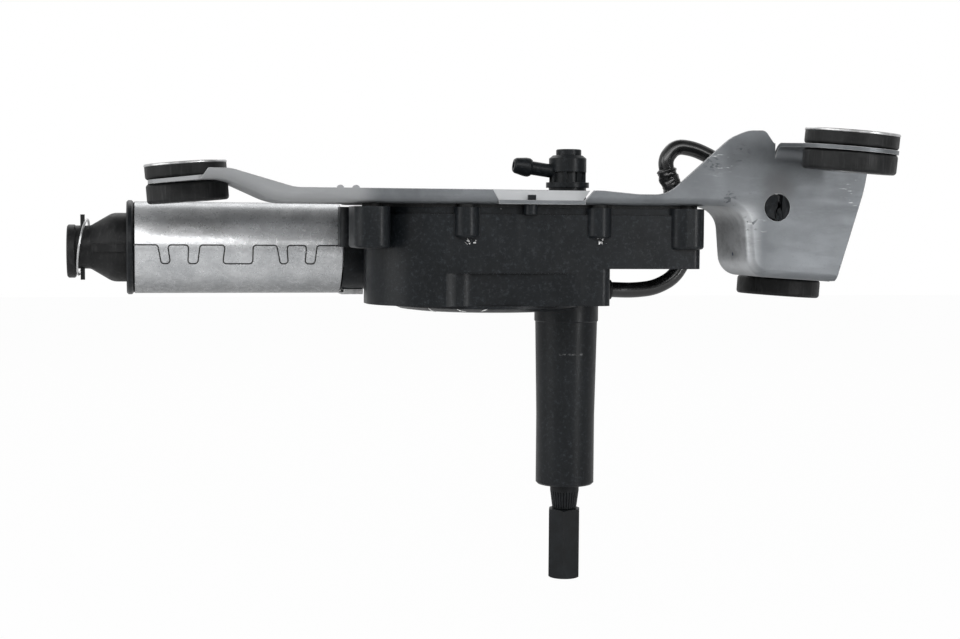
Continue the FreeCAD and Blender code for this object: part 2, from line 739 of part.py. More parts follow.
def gear_housing():
    outer = plan_solid(main_outline(0), 0, HOUSE_TOP_Z)
    outer = outer.fuse(plan_solid(foot_outline(0), FOOT_Z, HOUSE_TOP_Z))
    outer = outer.fuse(upper_solid(RIM_INSET, HOUSE_TOP_Z, rim_top()))
    near = HOUSE_NEAR_Y
    pocket = plan_solid(
        [
            (-72.0, near - 1, 0),
            (-72.0, near - 0.05, 0),
            (-59.0, near - 0.05, 14.0),
            (-51.5, near + LEDGE_DEPTH, 9.0),
            (-36.0, near + LEDGE_DEPTH, 40.0),
            (-6.0, near - 0.05, 60.0),
            (4.0, near - 0.05, 0),
            (4.0, near - 1, 0),
        ],
        -1.0,
        LEDGE_Z,
    )
    outer = outer.cut(pocket)
    disc = revolved(
        [(0, 0), (0, DISC_R), (-1.2, DISC_R), (-2.4, DISC_R - 3), (-DISC_H, DISC_R - 8), (-DISC_H, 0)],
        (WHEEL_X, WHEEL_Y, 0),
        UP,
    )
    solids = [outer, disc]
    for x, y in [(x, BOSS_LINE_Y) for x in SLIM_BOSS_X] + list(BACK_BOSS):
        solids.append(slim_boss(x, y))
    solids += [big_boss(*extent) for extent in BIG_BOSSES]
    ear = [(-98.5, -9.0, 2.5), (-80.0, -9.0, 0), (-80.0, 3.0, 0), (-98.5, 3.0, 2.5)]
    solids.append(plan_solid(ear, BIG_BOSS_Z, rim_top()))
    body = fuse(solids)
    low_near = LEDGE_DEPTH + 0.4
    cavity = plan_solid(main_outline(HOUSE_WALL, low_near), HOUSE_FLOOR, LEDGE_Z + 2)
    cavity = cavity.fuse(plan_solid(main_outline(HOUSE_WALL), LEDGE_Z + 2, rim_top() + 1))
    cavity = cavity.fuse(plan_solid(foot_outline(HOUSE_WALL), FOOT_Z + HOUSE_FLOOR, rim_top() + 1))
    body = body.cut(cavity)
    axle_post = rod(AXLE_POST_R, wheel_z0() - 1.2 - 0.01, (WHEEL_X, WHEEL_Y, 0.01))
    seat = rod(BEARING_R + 2.6, BEARING_W + 3.5, motor_point(MOTOR_FACE_X + 0.5), BARREL_AXIS)
    web = block(MOTOR_FACE_X + 0.5, MOTOR_FACE_X + 8, MOTOR_Y - 6, MOTOR_Y + 6, 0.5, MOTOR_Z - 8)
    thrust_x = worm_x1() + 4.4
    thrust = block(thrust_x, thrust_x + 5, MOTOR_Y - 6, MOTOR_Y + 6, 0.5, MOTOR_Z + 7)
    pads = [boss_pad(x, y) for x, y in screw_places()]
    walls = plan_solid(main_outline(0.4), 0.5, rim_top())
    walls = walls.fuse(plan_solid(foot_outline(0.4), FOOT_Z + 0.5, rim_top()))
    inside = Part.makeCompound([axle_post, seat, web, thrust])
    inside = inside.common(walls)
    body = body.fuse([inside] + pads).removeSplitter()
    cuts = [
        rod(BEARING_R, BEARING_W, motor_point(MOTOR_FACE_X + 4.0), BARREL_AXIS),
        rod(NECK_BORE_R - 1.5, 30, motor_point(MOTOR_FACE_X - 1), BARREL_AXIS),
        rod(AXLE_R, 60, (WHEEL_X, WHEEL_Y, 6.0)),
        rod(TUBE_COLLAR_R, DISC_H + 2, (0, 0, -DISC_H - 2)),
        collar_relief(),
        rod(SPIGOT_R, 8, (0, 0, -1)),
        rod(SHAFT_R + 0.2, 4.0, (thrust_x - 1, MOTOR_Y, MOTOR_Z), BARREL_AXIS),
        rod(LEAD_R, 14, (BOOT_X0 - 8, LEAD_POINTS[0][1], LEAD_POINTS[0][2]), BARREL_AXIS),
    ]
    for x, y in screw_places():
        cuts.append(rod(SCREW_R, SCREW_LEN, (x, y, PLATE_Z + SHEET - SCREW_LEN - 0.5)))
    cuts.append(boot_plug(0.0))
    return body.cut(cuts)


def collar_relief():
    """Groove round the tube's collar, in which a ring can be pushed up to the collar's top."""
    outer = TUBE_COLLAR_R + COLLAR_RELIEF
    inner = TUBE_COLLAR_R - COLLAR_SEAT
    depth = DISC_H + 2
    return ring(outer, inner, depth + COLLAR_RELIEF_TOP, (0, 0, -depth))


def low_edges(solid, z):
    """Edges that lie in a plane of constant Z."""
    return [e for e in solid.Edges if abs(e.BoundBox.ZMin - z) < 1e-4 and abs(e.BoundBox.ZMax - z) < 1e-4]


def slim_boss(x, y):
    """Round screw boss with a bevelled foot."""
    solid = rod(SLIM_BOSS_R, rim_top() - SLIM_BOSS_Z, (x, y, SLIM_BOSS_Z))
    return solid.makeChamfer(0.9, low_edges(solid, SLIM_BOSS_Z))


def big_boss(x0, x1, y0, y1):
    """Square screw boss with rounded corners, which runs back into the wall."""
    corners = [(x0, y0, BIG_BOSS_R), (x1, y0, BIG_BOSS_R), (x1, y1, 2.0), (x0, y1, 2.0)]
    solid = plan_solid(corners, BIG_BOSS_Z, rim_top())
    return solid.makeFillet(1.3, low_edges(solid, BIG_BOSS_Z))


def boss_pad(x, y):
    """Material round a screw hole inside the cavity."""
    z0 = SLIM_BOSS_Z + 0.5
    return rod(SCREW_R + 1.2, rim_top() - z0, (x, y, z0))


def housing_gasket():
    outer = upper_solid(RIM_INSET, rim_top(), PLATE_Z)
    inner = upper_solid(HOUSE_WALL, rim_top() - 1, PLATE_Z + 1)
    band = outer.cut(inner)
    extras = []
    for x, y in screw_places():
        extras.append(rod(SCREW_R + 2.2, GASKET_T, (x, y, rim_top())))
    band = band.fuse(extras).removeSplitter()
    holes = [rod(SCREW_R + 0.1, 5, (x, y, rim_top() - 1)) for x, y in screw_places()]
    return band.cut(holes)


def peg_x():
    return (NOTCH_LOW_X[0] + NOTCH_LOW_X[1]) / 2 - PEG_OFFSET


def peg_post(grow):
    """Flat post that stands up through a slot in the notch."""
    x = peg_x()
    y0 = FACE_Y + SHEET
    half = PEG_W / 2 + grow
    return block(x - half, x + half, y0 - grow, y0 + PEG_T + grow, HOUSE_TOP_Z, PEG_TOP_Z + grow)


def locating_peg():
    """Half-round foot on the housing's shoulder, with the post that locates the bracket."""
    foot_z1 = PLATE_Z - 0.05
    y = FACE_Y + SHEET + PEG_T + 1.0
    foot = rod(PEG_FOOT_R, foot_z1 - HOUSE_TOP_Z, (peg_x(), y, HOUSE_TOP_Z))
    rim = upper_solid(RIM_INSET - 0.02, HOUSE_TOP_Z - 1, PLATE_Z + 1)
    return foot.fuse(peg_post(0.0)).removeSplitter().cut(rim)


# Worm, wheel and linkage


def worm_pitch_r():
    return MOTOR_Y - WHEEL_Y - wheel_pitch_r() - WHEEL_MODULE


def wheel_pitch_r():
    return WHEEL_TEETH * WHEEL_MODULE / 2


def worm_x0():
    return WHEEL_X - WORM_LEN / 2


def worm_x1():
    return WHEEL_X + WORM_LEN / 2


def wheel_z0():
    return MOTOR_Z - WHEEL_T / 2


def link_z0():
    return MOTOR_Z + WHEEL_T / 2 + 3.0


def rocker_z0():
    return link_z0() + LINK_T + 0.4


def centre_distance():
    return LINK_MODULE * (PINION_TEETH + SECTOR_TEETH) / 2


def gear_outline(teeth, module, backlash, add=0.9, root=1.15, first=0.0, count=None):
    """Points of an involute gear, or of an arc of its teeth, as (angle, radius)."""
    pitch_r = teeth * module / 2
    pressure = math.radians(20)
    base_r = pitch_r * math.cos(pressure)
    tip_r = pitch_r + add * module
    root_r = pitch_r - root * module
    half = math.pi / (2 * teeth) - backlash / (2 * pitch_r)
    inv_pitch = math.tan(pressure) - pressure
    points = []
    low = max(base_r, root_r)
    steps = 3
    for k in range(teeth if count is None else count):
        centre = first + 2 * math.pi * k / teeth
        flank = []
        for s in range(steps + 1):
            r = low + (tip_r - low) * s / steps
            roll = math.acos(min(1.0, base_r / r))
            flank.append((half + inv_pitch - (math.tan(roll) - roll), r))
        points.append((centre - flank[0][0], root_r))
        points.extend((centre - a, r) for a, r in flank)
        points.extend((centre + a, r) for a, r in reversed(flank))
        points.append((centre + flank[0][0], root_r))
    return points


def polar_solid(points, centre, z0, height):
    x0, y0 = centre
    ring_points = [vec(x0 + r * math.cos(a), y0 + r * math.sin(a), z0) for a, r in points]
    cleaned = [ring_points[0]]
    for p in ring_points[1:]:
        if (p - cleaned[-1]).Length > 1e-4:
            cleaned.append(p)
    return Part.Face(Part.makePolygon(cleaned + [cleaned[0]])).extrude(vec(0, 0, height))


def worm_wheel():
    teeth = gear_outline(WHEEL_TEETH, WHEEL_MODULE, 0.2)
    z0 = wheel_z0()
    disc = polar_solid(teeth, (WHEEL_X, WHEEL_Y), z0, WHEEL_T)
    throat = Part.makeTorus(
        MOTOR_Y - WHEEL_Y, worm_tip_r() + MESH_GAP, vec(WHEEL_X, WHEEL_Y, MOTOR_Z), UP
    )
    disc = disc.cut(throat)
    web = ring(wheel_pitch_r() - 4.0, WHEEL_HUB_R + 4.5, 2.4, (WHEEL_X, WHEEL_Y, z0 + WHEEL_T - 2.2))
    disc = disc.cut(web)
    px, py = crank_place()
    boss_solid = rod(PIN_R + 2.0, 2.2, (px, py, z0 + WHEEL_T - 2.21))
    disc = disc.fuse(boss_solid)
    disc = disc.cut(rod(AXLE_R + RUNNING, 20, (WHEEL_X, WHEEL_Y, z0 - 1)))
    return disc.cut(rod(PIN_R, 5.0, (px, py, z0 + WHEEL_T - 4.99)))


def worm_tip_r():
    return worm_pitch_r() + 0.9 * WHEEL_MODULE


def crank_place():
    """Crank pin at park: the far end of its stroke from the spindle side."""
    angle = math.radians(146.0)
    return WHEEL_X + CRANK_R * math.cos(angle), WHEEL_Y + CRANK_R * math.sin(angle)


def pivot_place():
    angle = math.radians(PARK_ANGLE)
    reach = centre_distance()
    return reach * math.cos(angle), reach * math.sin(angle)


def crank_pin():
    px, py = crank_place()
    base = wheel_z0() + WHEEL_T - 4.99
    return rod(PIN_R, link_z0() - PIVOT_GAP - base, (px, py, base))


def wheel_axle():
    top = wheel_z0() + WHEEL_T
    return rod(AXLE_R, top - 6.0, (WHEEL_X, WHEEL_Y, 6.0))


def contact_disc():
    """Copper park disc under the wheel, with the gap that stops the motor."""
    z = wheel_z0() - 0.6
    disc = ring(18.5, 9.5, 0.6, (WHEEL_X, WHEEL_Y, z))
    gap = block(WHEEL_X + 13, WHEEL_X + 20, WHEEL_Y - 3, WHEEL_Y + 3, z - 1, z + 2)
    return disc.cut(gap)


def contact_board():
    x0, x1, y0, y1 = BOARD
    outline = [(x0, y0, 3.0), (x1, y0, 3.0), (x1, y1, 3.0), (x0, y1, 3.0)]
    board = plan_solid(outline, BOARD_Z, BOARD_Z + BOARD_T)
    return board.cut(rod(AXLE_POST_R + 0.4, 4, (WHEEL_X, WHEEL_Y, BOARD_Z - 1)))


def board_posts():
    """Pegs that carry the contact board above the housing floor."""
    x0, x1, y0, y1 = BOARD
    posts = []
    for x in (x0 + 5, x1 - 5):
        for y in (y0 + 5, y1 - 5):
            posts.append(rod(2.2, BOARD_Z - HOUSE_FLOOR, (x, y, HOUSE_FLOOR)))
    return Part.makeCompound(posts)


def contact_fingers():
    """Three sprung contacts from the board to the park disc."""
    fingers = []
    z0 = BOARD_Z + BOARD_T
    z1 = wheel_z0() - 0.6
    for k, r in enumerate((11.2, 14.0, 16.8)):
        y = WHEEL_Y - r
        x = WHEEL_X + 3.0 * (k - 1)
        foot = block(x - 0.8, x + 0.8, y - 1.0, y + 1.0, z0, z0 + 0.5)
        arm = block(x - 0.8, x + 0.8, y - 0.3, y + 0.3, z0, z1 - 0.05)
        fingers.append(foot.fuse(arm))
    return Part.makeCompound(fingers)


def rocker_plate():
    """Plate from the spindle to the pivot of the toothed sector."""
    px, py = pivot_place()
    z = rocker_z0()
    eye = rod(ROCKER_EYE_R, ROCKER_T, (0, 0, z))
    far = rod(PIVOT_EYE_R, ROCKER_T, (px, py, z))
    angle = math.radians(PARK_ANGLE)
    side = vec(-math.sin(angle), math.cos(angle), 0)
    reach = vec(px, py, 0)
    corners = [
        side * ROCKER_EYE_R * 0.96,
        reach + side * PIVOT_EYE_R * 0.96,
        reach - side * PIVOT_EYE_R * 0.96,
        side * -ROCKER_EYE_R * 0.96,
    ]
    corners = [c + vec(0, 0, z) for c in corners]
    bar = Part.Face(Part.makePolygon(corners + [corners[0]])).extrude(vec(0, 0, ROCKER_T))
    plate = fuse([eye, far, bar])
    plate = plate.cut(rod(SPINDLE_R + RUNNING, 10, (0, 0, z - 2)))
    return plate.cut(rod(PIN_R, 10, (px, py, z - 2)))


def rocker_pin():
    px, py = pivot_place()
    head = rod(PIN_R + 1.2, 1.2, (px, py, link_z0() - 1.3))
    shank = rod(PIN_R, rocker_z0() + ROCKER_T - link_z0() + 1.3, (px, py, link_z0() - 1.3))
    return head.fuse(shank)


def sector_link():
    """Connecting link: an eye over the crank pin, a body and a toothed sector at its pivot."""
    px, py = pivot_place()
    cx, cy = crank_place()
    z = link_z0()
    toward_spindle = math.radians(PARK_ANGLE - 180.0)
    pitch = 2 * math.pi / SECTOR_TEETH
    half_span = pitch * (SECTOR_TOOTH_COUNT - 1) / 2
    first = toward_spindle - half_span
    teeth = gear_outline(SECTOR_TEETH, LINK_MODULE, BACKLASH, first=first, count=SECTOR_TOOTH_COUNT)
    outline = [(first - 0.35, 6.0)] + teeth + [(first + 2 * half_span + 0.35, 6.0)]
    sector = polar_solid(outline, (px, py), z, LINK_T)
    hub = rod(PIVOT_EYE_R + 1.5, LINK_T, (px, py, z))
    far = rod(PIVOT_EYE_R, LINK_T, (cx, cy, z))
    along = vec(cx - px, cy - py, 0).normalize()
    side = vec(-along.y, along.x, 0)
    start = vec(px, py, z)
    finish = vec(cx, cy, z)
    corners = [start + side * 6.6, finish + side * 5.3, finish - side * 5.3, start - side * 6.6]
    bar = Part.Face(Part.makePolygon(corners + [corners[0]])).extrude(vec(0, 0, LINK_T))
    link = fuse([sector, hub, far, bar])
    window = rod(2.4, LINK_T + 2, ((px + cx) / 2, (py + cy) / 2, z - 1))
    link = link.cut([rod(PIN_R + RUNNING, 10, (px, py, z - 2)), window])
    return link.cut(rod(PIN_R + 0.3, 10, (cx, cy, z - 2)))


def output_pinion():
    tooth_at = math.radians(PARK_ANGLE)
    teeth = gear_outline(PINION_TEETH, LINK_MODULE, BACKLASH, first=tooth_at)
    gear = polar_solid(teeth, (0, 0), link_z0() - 0.2, LINK_T + 0.4)
    return gear.cut(rod(SPINDLE_R, 10, (0, 0, link_z0() - 2)))


# Motor


def motor_point(x):
    return (x, MOTOR_Y, MOTOR_Z)


def seam_cut():
    """Thin band that follows the seam's square teeth on the near side of the yoke."""
    top = MOTOR_Z + SEAM_RISE
    low = top - SEAM_TOOTH_H
    path = [(YOKE_X0 - 1, top, 0)]
    for left_top, left_low, right_low, right_top in SEAM_TEETH:
        path.append((YOKE_X0 + left_top, top, SEAM_TOP_R))
        path.append((YOKE_X0 + left_low, low, SEAM_LOW_R))
        path.append((YOKE_X0 + right_low, low, SEAM_LOW_R))
        path.append((YOKE_X0 + right_top, top, SEAM_TOP_R))
    path.append((YOKE_X1 + 1, top, 0))
    upper = offset_path(path, SEAM_W / 2)
    lower = offset_path(path, -SEAM_W / 2)
    band = side_solid(upper + lower[::-1], MOTOR_Y - YOKE_R - 1, MOTOR_Y)
    length = YOKE_X1 - YOKE_X0 + 4
    skin = ring(YOKE_R + 1, YOKE_R - SEAM_DEPTH, length, motor_point(YOKE_X0 - 2), BARREL_AXIS)
    return band.common(skin)


def motor_barrel():
    length = YOKE_X1 - YOKE_X0
    shell = rod(YOKE_R, length, motor_point(YOKE_X0), BARREL_AXIS)
    shell = shell.makeChamfer(0.6, [shell.Edges[0], shell.Edges[2]])
    shell = shell.cut(rod(YOKE_R - YOKE_T, length, motor_point(YOKE_X0 + YOKE_REAR_T), BARREL_AXIS))
    start = motor_point(YOKE_X0 + YOKE_REAR_T - 0.1)
    pocket = ring(REAR_BEARING_R + 1.4, REAR_BEARING_R, REAR_BEARING_W, start, BARREL_AXIS)
    shell = shell.fuse(pocket).removeSplitter()
    shell = shell.cut(rod(SHAFT_R + 1, 6, motor_point(YOKE_X0 - 2), BARREL_AXIS))
    return shell.cut(seam_cut())


def magnets():
    """Two ferrite shells clipped inside the yoke."""
    outer = YOKE_R - YOKE_T
    length = STACK_X1 - STACK_X0 + 6
    shell = ring(outer, STACK_R + MAGNET_GAP, length, motor_point(STACK_X0 - 3), BARREL_AXIS)
    y0 = MOTOR_Y - MAGNET_SPLIT / 2
    gap = block(STACK_X0 - 4, STACK_X1 + 4, y0, y0 + MAGNET_SPLIT, MOTOR_Z - YOKE_R, MOTOR_Z + YOKE_R)
    return shell.cut(gap)


def armature_shaft():
    end = worm_x1() + 4.0
    start = YOKE_X0 + YOKE_REAR_T + 0.2
    return rod(SHAFT_R, end - start, motor_point(start), BARREL_AXIS)


def worm():
    """Single-start worm pressed on the armature shaft."""
    tip = worm_tip_r()
    root = worm_pitch_r() - 1.0
    core = rod(root, WORM_LEN, motor_point(worm_x0()), BARREL_AXIS)
    pitch = math.pi * WHEEL_MODULE
    length = WORM_LEN - 3
    helix = Part.makeHelix(pitch, length, root)
    half = 0.36 * pitch
    tip_half = 0.16 * pitch
    section = Part.makePolygon(
        [
            vec(root - 0.3, 0, -half),
            vec(tip, 0, -tip_half),
            vec(tip, 0, tip_half),
            vec(root - 0.3, 0, half),
            vec(root - 0.3, 0, -half),
        ]
    )
    thread = Part.Wire(helix.Edges).makePipeShell([section], True, True)
    thread.rotate(vec(0, 0, 0), vec(0, 1, 0), 90)
    thread.translate(vec(worm_x0() + 1.5, MOTOR_Y, MOTOR_Z))
    body = core.fuse(thread)
    return body.cut(rod(SHAFT_R, WORM_LEN + 2, motor_point(worm_x0() - 1), BARREL_AXIS))


def lamination_stack():
    length = STACK_X1 - STACK_X0
    stack = rod(STACK_R, length, motor_point(STACK_X0), BARREL_AXIS)
    slots = []
    for k in range(STACK_SLOTS):
        throat = block(-1, length + 1, -0.8, 0.8, STACK_R - 3.0, STACK_R + 1)
        pocket = rod(2.3, length + 2, (-1, 0, STACK_R - 4.4), BARREL_AXIS)
        slot = throat.fuse(pocket)
        slot.rotate(vec(0, 0, 0), BARREL_AXIS, k * 360.0 / STACK_SLOTS)
        slot.translate(vec(STACK_X0, MOTOR_Y, MOTOR_Z))
        slots.append(slot)
    stack = stack.cut(slots)
    return stack.cut(rod(SHAFT_R, length + 2, motor_point(STACK_X0 - 1), BARREL_AXIS))


def windings():
    """Copper filling the slots, with a rounded end turn at each end of the stack."""
    length = STACK_X1 - STACK_X0
    bars = []
    for k in range(STACK_SLOTS):
        bar = rod(2.1, length + 4, (-2, 0, STACK_R - 4.4), BARREL_AXIS)
        bar.rotate(vec(0, 0, 0), BARREL_AXIS, k * 360.0 / STACK_SLOTS)
        bar.translate(vec(STACK_X0, MOTOR_Y, MOTOR_Z))
        bars.append(bar)
    ends = []
    for start in (STACK_X0 - 6.0, STACK_X1):
        coil = ring(11.2, 5.0, 6.0, motor_point(start), BARREL_AXIS)
        outer = [e for e in coil.Edges if abs(e.BoundBox.YLength - 22.4) < 0.1]
        ends.append(coil.makeChamfer(1.7, outer))
    return fuse(ends + bars)


def commutator():
    length = COMMUTATOR_X1 - COMMUTATOR_X0
    body = ring(COMMUTATOR_R, SHAFT_R, length, motor_point(COMMUTATOR_X0), BARREL_AXIS)
    riser = ring(COMMUTATOR_R + 1.0, SHAFT_R, 1.6, motor_point(COMMUTATOR_X0), BARREL_AXIS)
    slots = []
    for k in range(COMMUTATOR_BARS):
        slot = block(-1, length + 1, -0.25, 0.25, COMMUTATOR_R - 0.8, COMMUTATOR_R + 2)
        slot.rotate(vec(0, 0, 0), BARREL_AXIS, (k + 0.5) * 360.0 / COMMUTATOR_BARS)
        slot.translate(vec(COMMUTATOR_X0, MOTOR_Y, MOTOR_Z))
        slots.append(slot)
    return body.fuse(riser).cut(slots)


def brush_x():
    return COMMUTATOR_X1 - BRUSH_W / 2 - 1.0


def brush_block(start, length, grow):
    """Block along Y at the brushes' place, from a radius outwards."""
    x = brush_x()
    half_x = BRUSH_W / 2 + grow
    half_z = BRUSH_H / 2 + grow
    y = MOTOR_Y + start
    return block(x - half_x, x + half_x, y, y + length, MOTOR_Z - half_z, MOTOR_Z + half_z)


def mirrored(shape):
    return shape.mirror(vec(0, MOTOR_Y, 0), vec(0, 1, 0))


def brushes():
    one = brush_block(COMMUTATOR_R + 0.1, BRUSH_LEN, 0.0)
    round_cut = rod(COMMUTATOR_R + 0.1, 40, motor_point(brush_x() - 20), BARREL_AXIS)
    one = one.cut(round_cut)
    return Part.makeCompound([one, mirrored(one)])


def brush_springs():
    """Coil springs behind the brushes, drawn as sleeves."""
    start = COMMUTATOR_R + 0.1 + BRUSH_LEN
    spring = ring(1.6, 1.0, 2.6, (brush_x(), MOTOR_Y + start, MOTOR_Z), vec(0, 1, 0))
    return Part.makeCompound([spring, mirrored(spring)])


def brush_carrier():
    """Moulded neck between the yoke and the gear housing, with a guide for each brush."""
    half = NECK_HALF
    corners = [(-half, -half), (half, -half), (half, half), (-half, half)]
    wire = rounded_wire(
        [(a, b, NECK_CORNER_R) for a, b in corners],
        lambda p: vec(YOKE_X1, MOTOR_Y + p.x, MOTOR_Z + p.y),
    )
    plate = Part.Face(wire).extrude(vec(MOTOR_FACE_X - YOKE_X1, 0, 0))
    spigot = rod(YOKE_R - YOKE_T, 3.0, motor_point(YOKE_X1 - 3.0), BARREL_AXIS)
    body = plate.fuse(spigot)
    guide = brush_block(COMMUTATOR_R + 1.5, 9.0, 1.4)
    guide = guide.cut(brush_block(COMMUTATOR_R, 8.9, 0.0))
    x_end = YOKE_X1 - 2.9
    bridge_z = MOTOR_Z + BRUSH_H / 2 + 0.1
    bridge = block(brush_x(), x_end, MOTOR_Y + 11.5, MOTOR_Y + 14.5, bridge_z, bridge_z + 1.3)
    body = body.fuse([guide, mirrored(guide), bridge, mirrored(bridge)])
    bore_len = MOTOR_FACE_X - YOKE_X1 + 6
    bore = rod(NECK_BORE_R, bore_len, motor_point(YOKE_X1 - 4), BARREL_AXIS)
    return body.cut(bore).removeSplitter()


def retaining_clip():
    """Folded steel clip under the neck."""
    z = MOTOR_Z - NECK_HALF
    x0, x1 = YOKE_X1 + 1.2, YOKE_X1 + 9.5
    y0, y1 = MOTOR_Y - 8.0, MOTOR_Y + 4.0
    base = block(x0 - 1.0, x1, y0, y1, z - 2.2, z - 1.2)
    top = block(x0, x1, y0, y1, z - 1.2, z)
    window = block(x0 - 0.2, x1 + 1, y0 + 1.2, y1 - 1.2, z - 1.2, z - 0.4)
    return base.fuse(top.cut(window)).removeSplitter()


def ball_bearing(start, length, outer, inner):
    """Sealed bearing with a groove in each face."""
    body = ring(outer, inner, length, motor_point(start), BARREL_AXIS)
    mid = (outer + inner) / 2
    grooves = [
        ring(mid + 1.2, mid - 1.2, 0.4, motor_point(start - 0.01), BARREL_AXIS),
        ring(mid + 1.2, mid - 1.2, 0.4, motor_point(start + length - 0.39), BARREL_AXIS),
    ]
    return body.cut(grooves)


def front_bearing():
    return ball_bearing(MOTOR_FACE_X + 4.0, BEARING_W, BEARING_R, SHAFT_R + RUNNING)


def rear_bearing():
    start = YOKE_X0 + YOKE_REAR_T
    return ring(REAR_BEARING_R, SHAFT_R + RUNNING, REAR_BEARING_W, motor_point(start), BARREL_AXIS)


def thrust_pad():
    """Hard pad that takes the worm's end load."""
    return rod(SHAFT_R + 0.2, 2.6, motor_point(worm_x1() + 4.1), BARREL_AXIS)


def end_cap():
    x1 = YOKE_X0
    cap = rod(YOKE_R + CAP_LIP, CAP_T, motor_point(x1 - CAP_T), BARREL_AXIS)
    cap = cap.makeChamfer(0.7, [cap.Edges[0], cap.Edges[2]])
    return cap.cut(rod(NOSE_NECK_R - 2.0, CAP_T + 2, motor_point(x1 - CAP_T - 1), BARREL_AXIS))


def nose_place(along):
    """Point on the motor axis, a distance out from the cap."""
    return motor_point(YOKE_X0 - CAP_T - along)


def rubber_nose():
    """Hollow cone with a neck, a slightly dropped end flange, a side rib and two tabs."""
    outward = vec(-1, 0, 0)
    cone_end = NOSE_STEP + NOSE_CONE
    neck_end = cone_end + NOSE_NECK
    profile = [
        (0, 0),
        (0, NOSE_R),
        (NOSE_STEP, NOSE_R, 7.0),
        (cone_end, NOSE_NECK_R, 3.0),
        (neck_end + 1, NOSE_NECK_R),
        (neck_end + 1, 0),
    ]
    cone = revolved(profile, nose_place(0), outward)
    x, y, z = nose_place(neck_end)
    flange = rod(NOSE_END_R, NOSE_END_T, (x, y, z - NOSE_END_DROP), outward)
    flange = flange.makeChamfer(0.6, [flange.Edges[0], flange.Edges[2]])
    rib_y = MOTOR_Y - NOSE_R - 0.9
    rib_x0 = nose_place(cone_end - 1)[0]
    rib = block(rib_x0, nose_place(0)[0], rib_y, MOTOR_Y - NOSE_NECK_R, MOTOR_Z - 1.65, MOTOR_Z + 1.65)
    tabs = []
    for sign, along in zip((1, -1), NOSE_TAB_X):
        tab_x = nose_place(cone_end + along)[0]
        near_z = MOTOR_Z + sign * (NOSE_NECK_R - 0.6)
        far_z = MOTOR_Z + sign * NOSE_TAB_REACH
        low, high = min(near_z, far_z), max(near_z, far_z)
        tabs.append(block(tab_x - 0.85, tab_x + 0.85, MOTOR_Y - 1.6, MOTOR_Y + 1.6, low, high))
    body = cone.fuse([flange, rib] + tabs).removeSplitter()
    return body.cut(rod(NOSE_NECK_R - NOSE_WALL, neck_end + 20, nose_place(-1), outward))


def nose_clip_ring():
    """Spring wire ring round the nose's neck, leaning forward."""
    corners = []
    for k in range(8):
        angle = math.radians(22.5 + 45 * k)
        corners.append((RING_WIRE_R * math.cos(angle), RING_R + RING_WIRE_R * math.sin(angle)))
    hoop = revolved(corners, (0, 0, 0), BARREL_AXIS)
    hoop.rotate(vec(0, 0, 0), vec(0, 1, 0), RING_LEAN)
    hoop.rotate(vec(0, 0, 0), UP, RING_TURN)
    hoop.translate(vec(*nose_place(NOSE_STEP + NOSE_CONE + RING_BACK)))
    return hoop


# Output tube and spindle


def output_tube():
    tip = -TUBE_LEN
    seat = tip + TUBE_SEAT_LEN
    profile = [
        (SPIGOT_TOP, TUBE_BORE_R),
        (SPIGOT_TOP, SPIGOT_R),
        (0, SPIGOT_R),
        (0, TUBE_COLLAR_R),
        (-TUBE_COLLAR_H + 0.4, TUBE_COLLAR_R),
        (-TUBE_COLLAR_H, TUBE_COLLAR_R - 0.4),
        (-TUBE_COLLAR_H, TUBE_TOP_R),
        (seat, TUBE_END_R),
        (tip + 0.8, TUBE_END_R),
        (tip, TUBE_END_R - 0.8),
        (tip, TUBE_BORE_R),
    ]
    return revolved(profile, (0, 0, 0), UP)


def spindle_bush(z0):
    return ring(TUBE_BORE_R, SPINDLE_R + RUNNING, BUSH_LEN, (0, 0, z0))


def spindle_seal():
    """Lip seal below the lower bush."""
    z0 = -TUBE_LEN + 0.4
    body = ring(TUBE_BORE_R, SPINDLE_R + 0.3, 2.4, (0, 0, z0))
    groove = ring(TUBE_BORE_R - 1.0, SPINDLE_R + 0.9, 1.2, (0, 0, z0 - 0.01))
    return body.cut(groove)


def output_spindle():
    """Hollow steel spindle with a knurled cone and a threaded end."""
    knurl_top = -TUBE_LEN - WASHER_T - 0.3
    knurl_end = knurl_top - KNURL_LEN
    stud_end = knurl_end - CAP_LEN + 6.0
    profile = [
        (SPINDLE_TOP_Z, SPINDLE_BORE_R),
        (SPINDLE_TOP_Z, SPINDLE_R - 0.5),
        (SPINDLE_TOP_Z - 0.5, SPINDLE_R),
        (knurl_top, SPINDLE_R),
        (knurl_top, KNURL_TOP_R),
        (knurl_end, KNURL_END_R),
        (knurl_end, STUD_R),
        (stud_end + 0.8, STUD_R),
        (stud_end, STUD_R - 0.8),
        (stud_end, SPINDLE_BORE_R),
    ]
    body = revolved(profile, (0, 0, 0), UP)
    grooves = []
    for k in range(KNURL_TEETH):
        top = KNURL_TOP_R + 0.25
        end = KNURL_END_R + 0.25
        points = [
            vec(top, -0.38, knurl_top),
            vec(top, 0.38, knurl_top),
            vec(top - 0.8, 0, knurl_top),
        ]
        lower = [
            vec(end, -0.34, knurl_end),
            vec(end, 0.34, knurl_end),
            vec(end - 0.75, 0, knurl_end),
        ]
        sections = [Part.makePolygon(points + points[:1]), Part.makePolygon(lower + lower[:1])]
        groove = Part.makeLoft(sections, True)
        groove.rotate(vec(0, 0, 0), UP, k * 360.0 / KNURL_TEETH)
        grooves.append(groove)
    return body.cut(grooves)


def tube_washer():
    """Plain washer between the tube's end and the knurled cone, turning with the spindle."""
    z0 = -TUBE_LEN - WASHER_T - 0.3
    return ring(WASHER_R, SPINDLE_R, WASHER_T, (0, 0, z0))


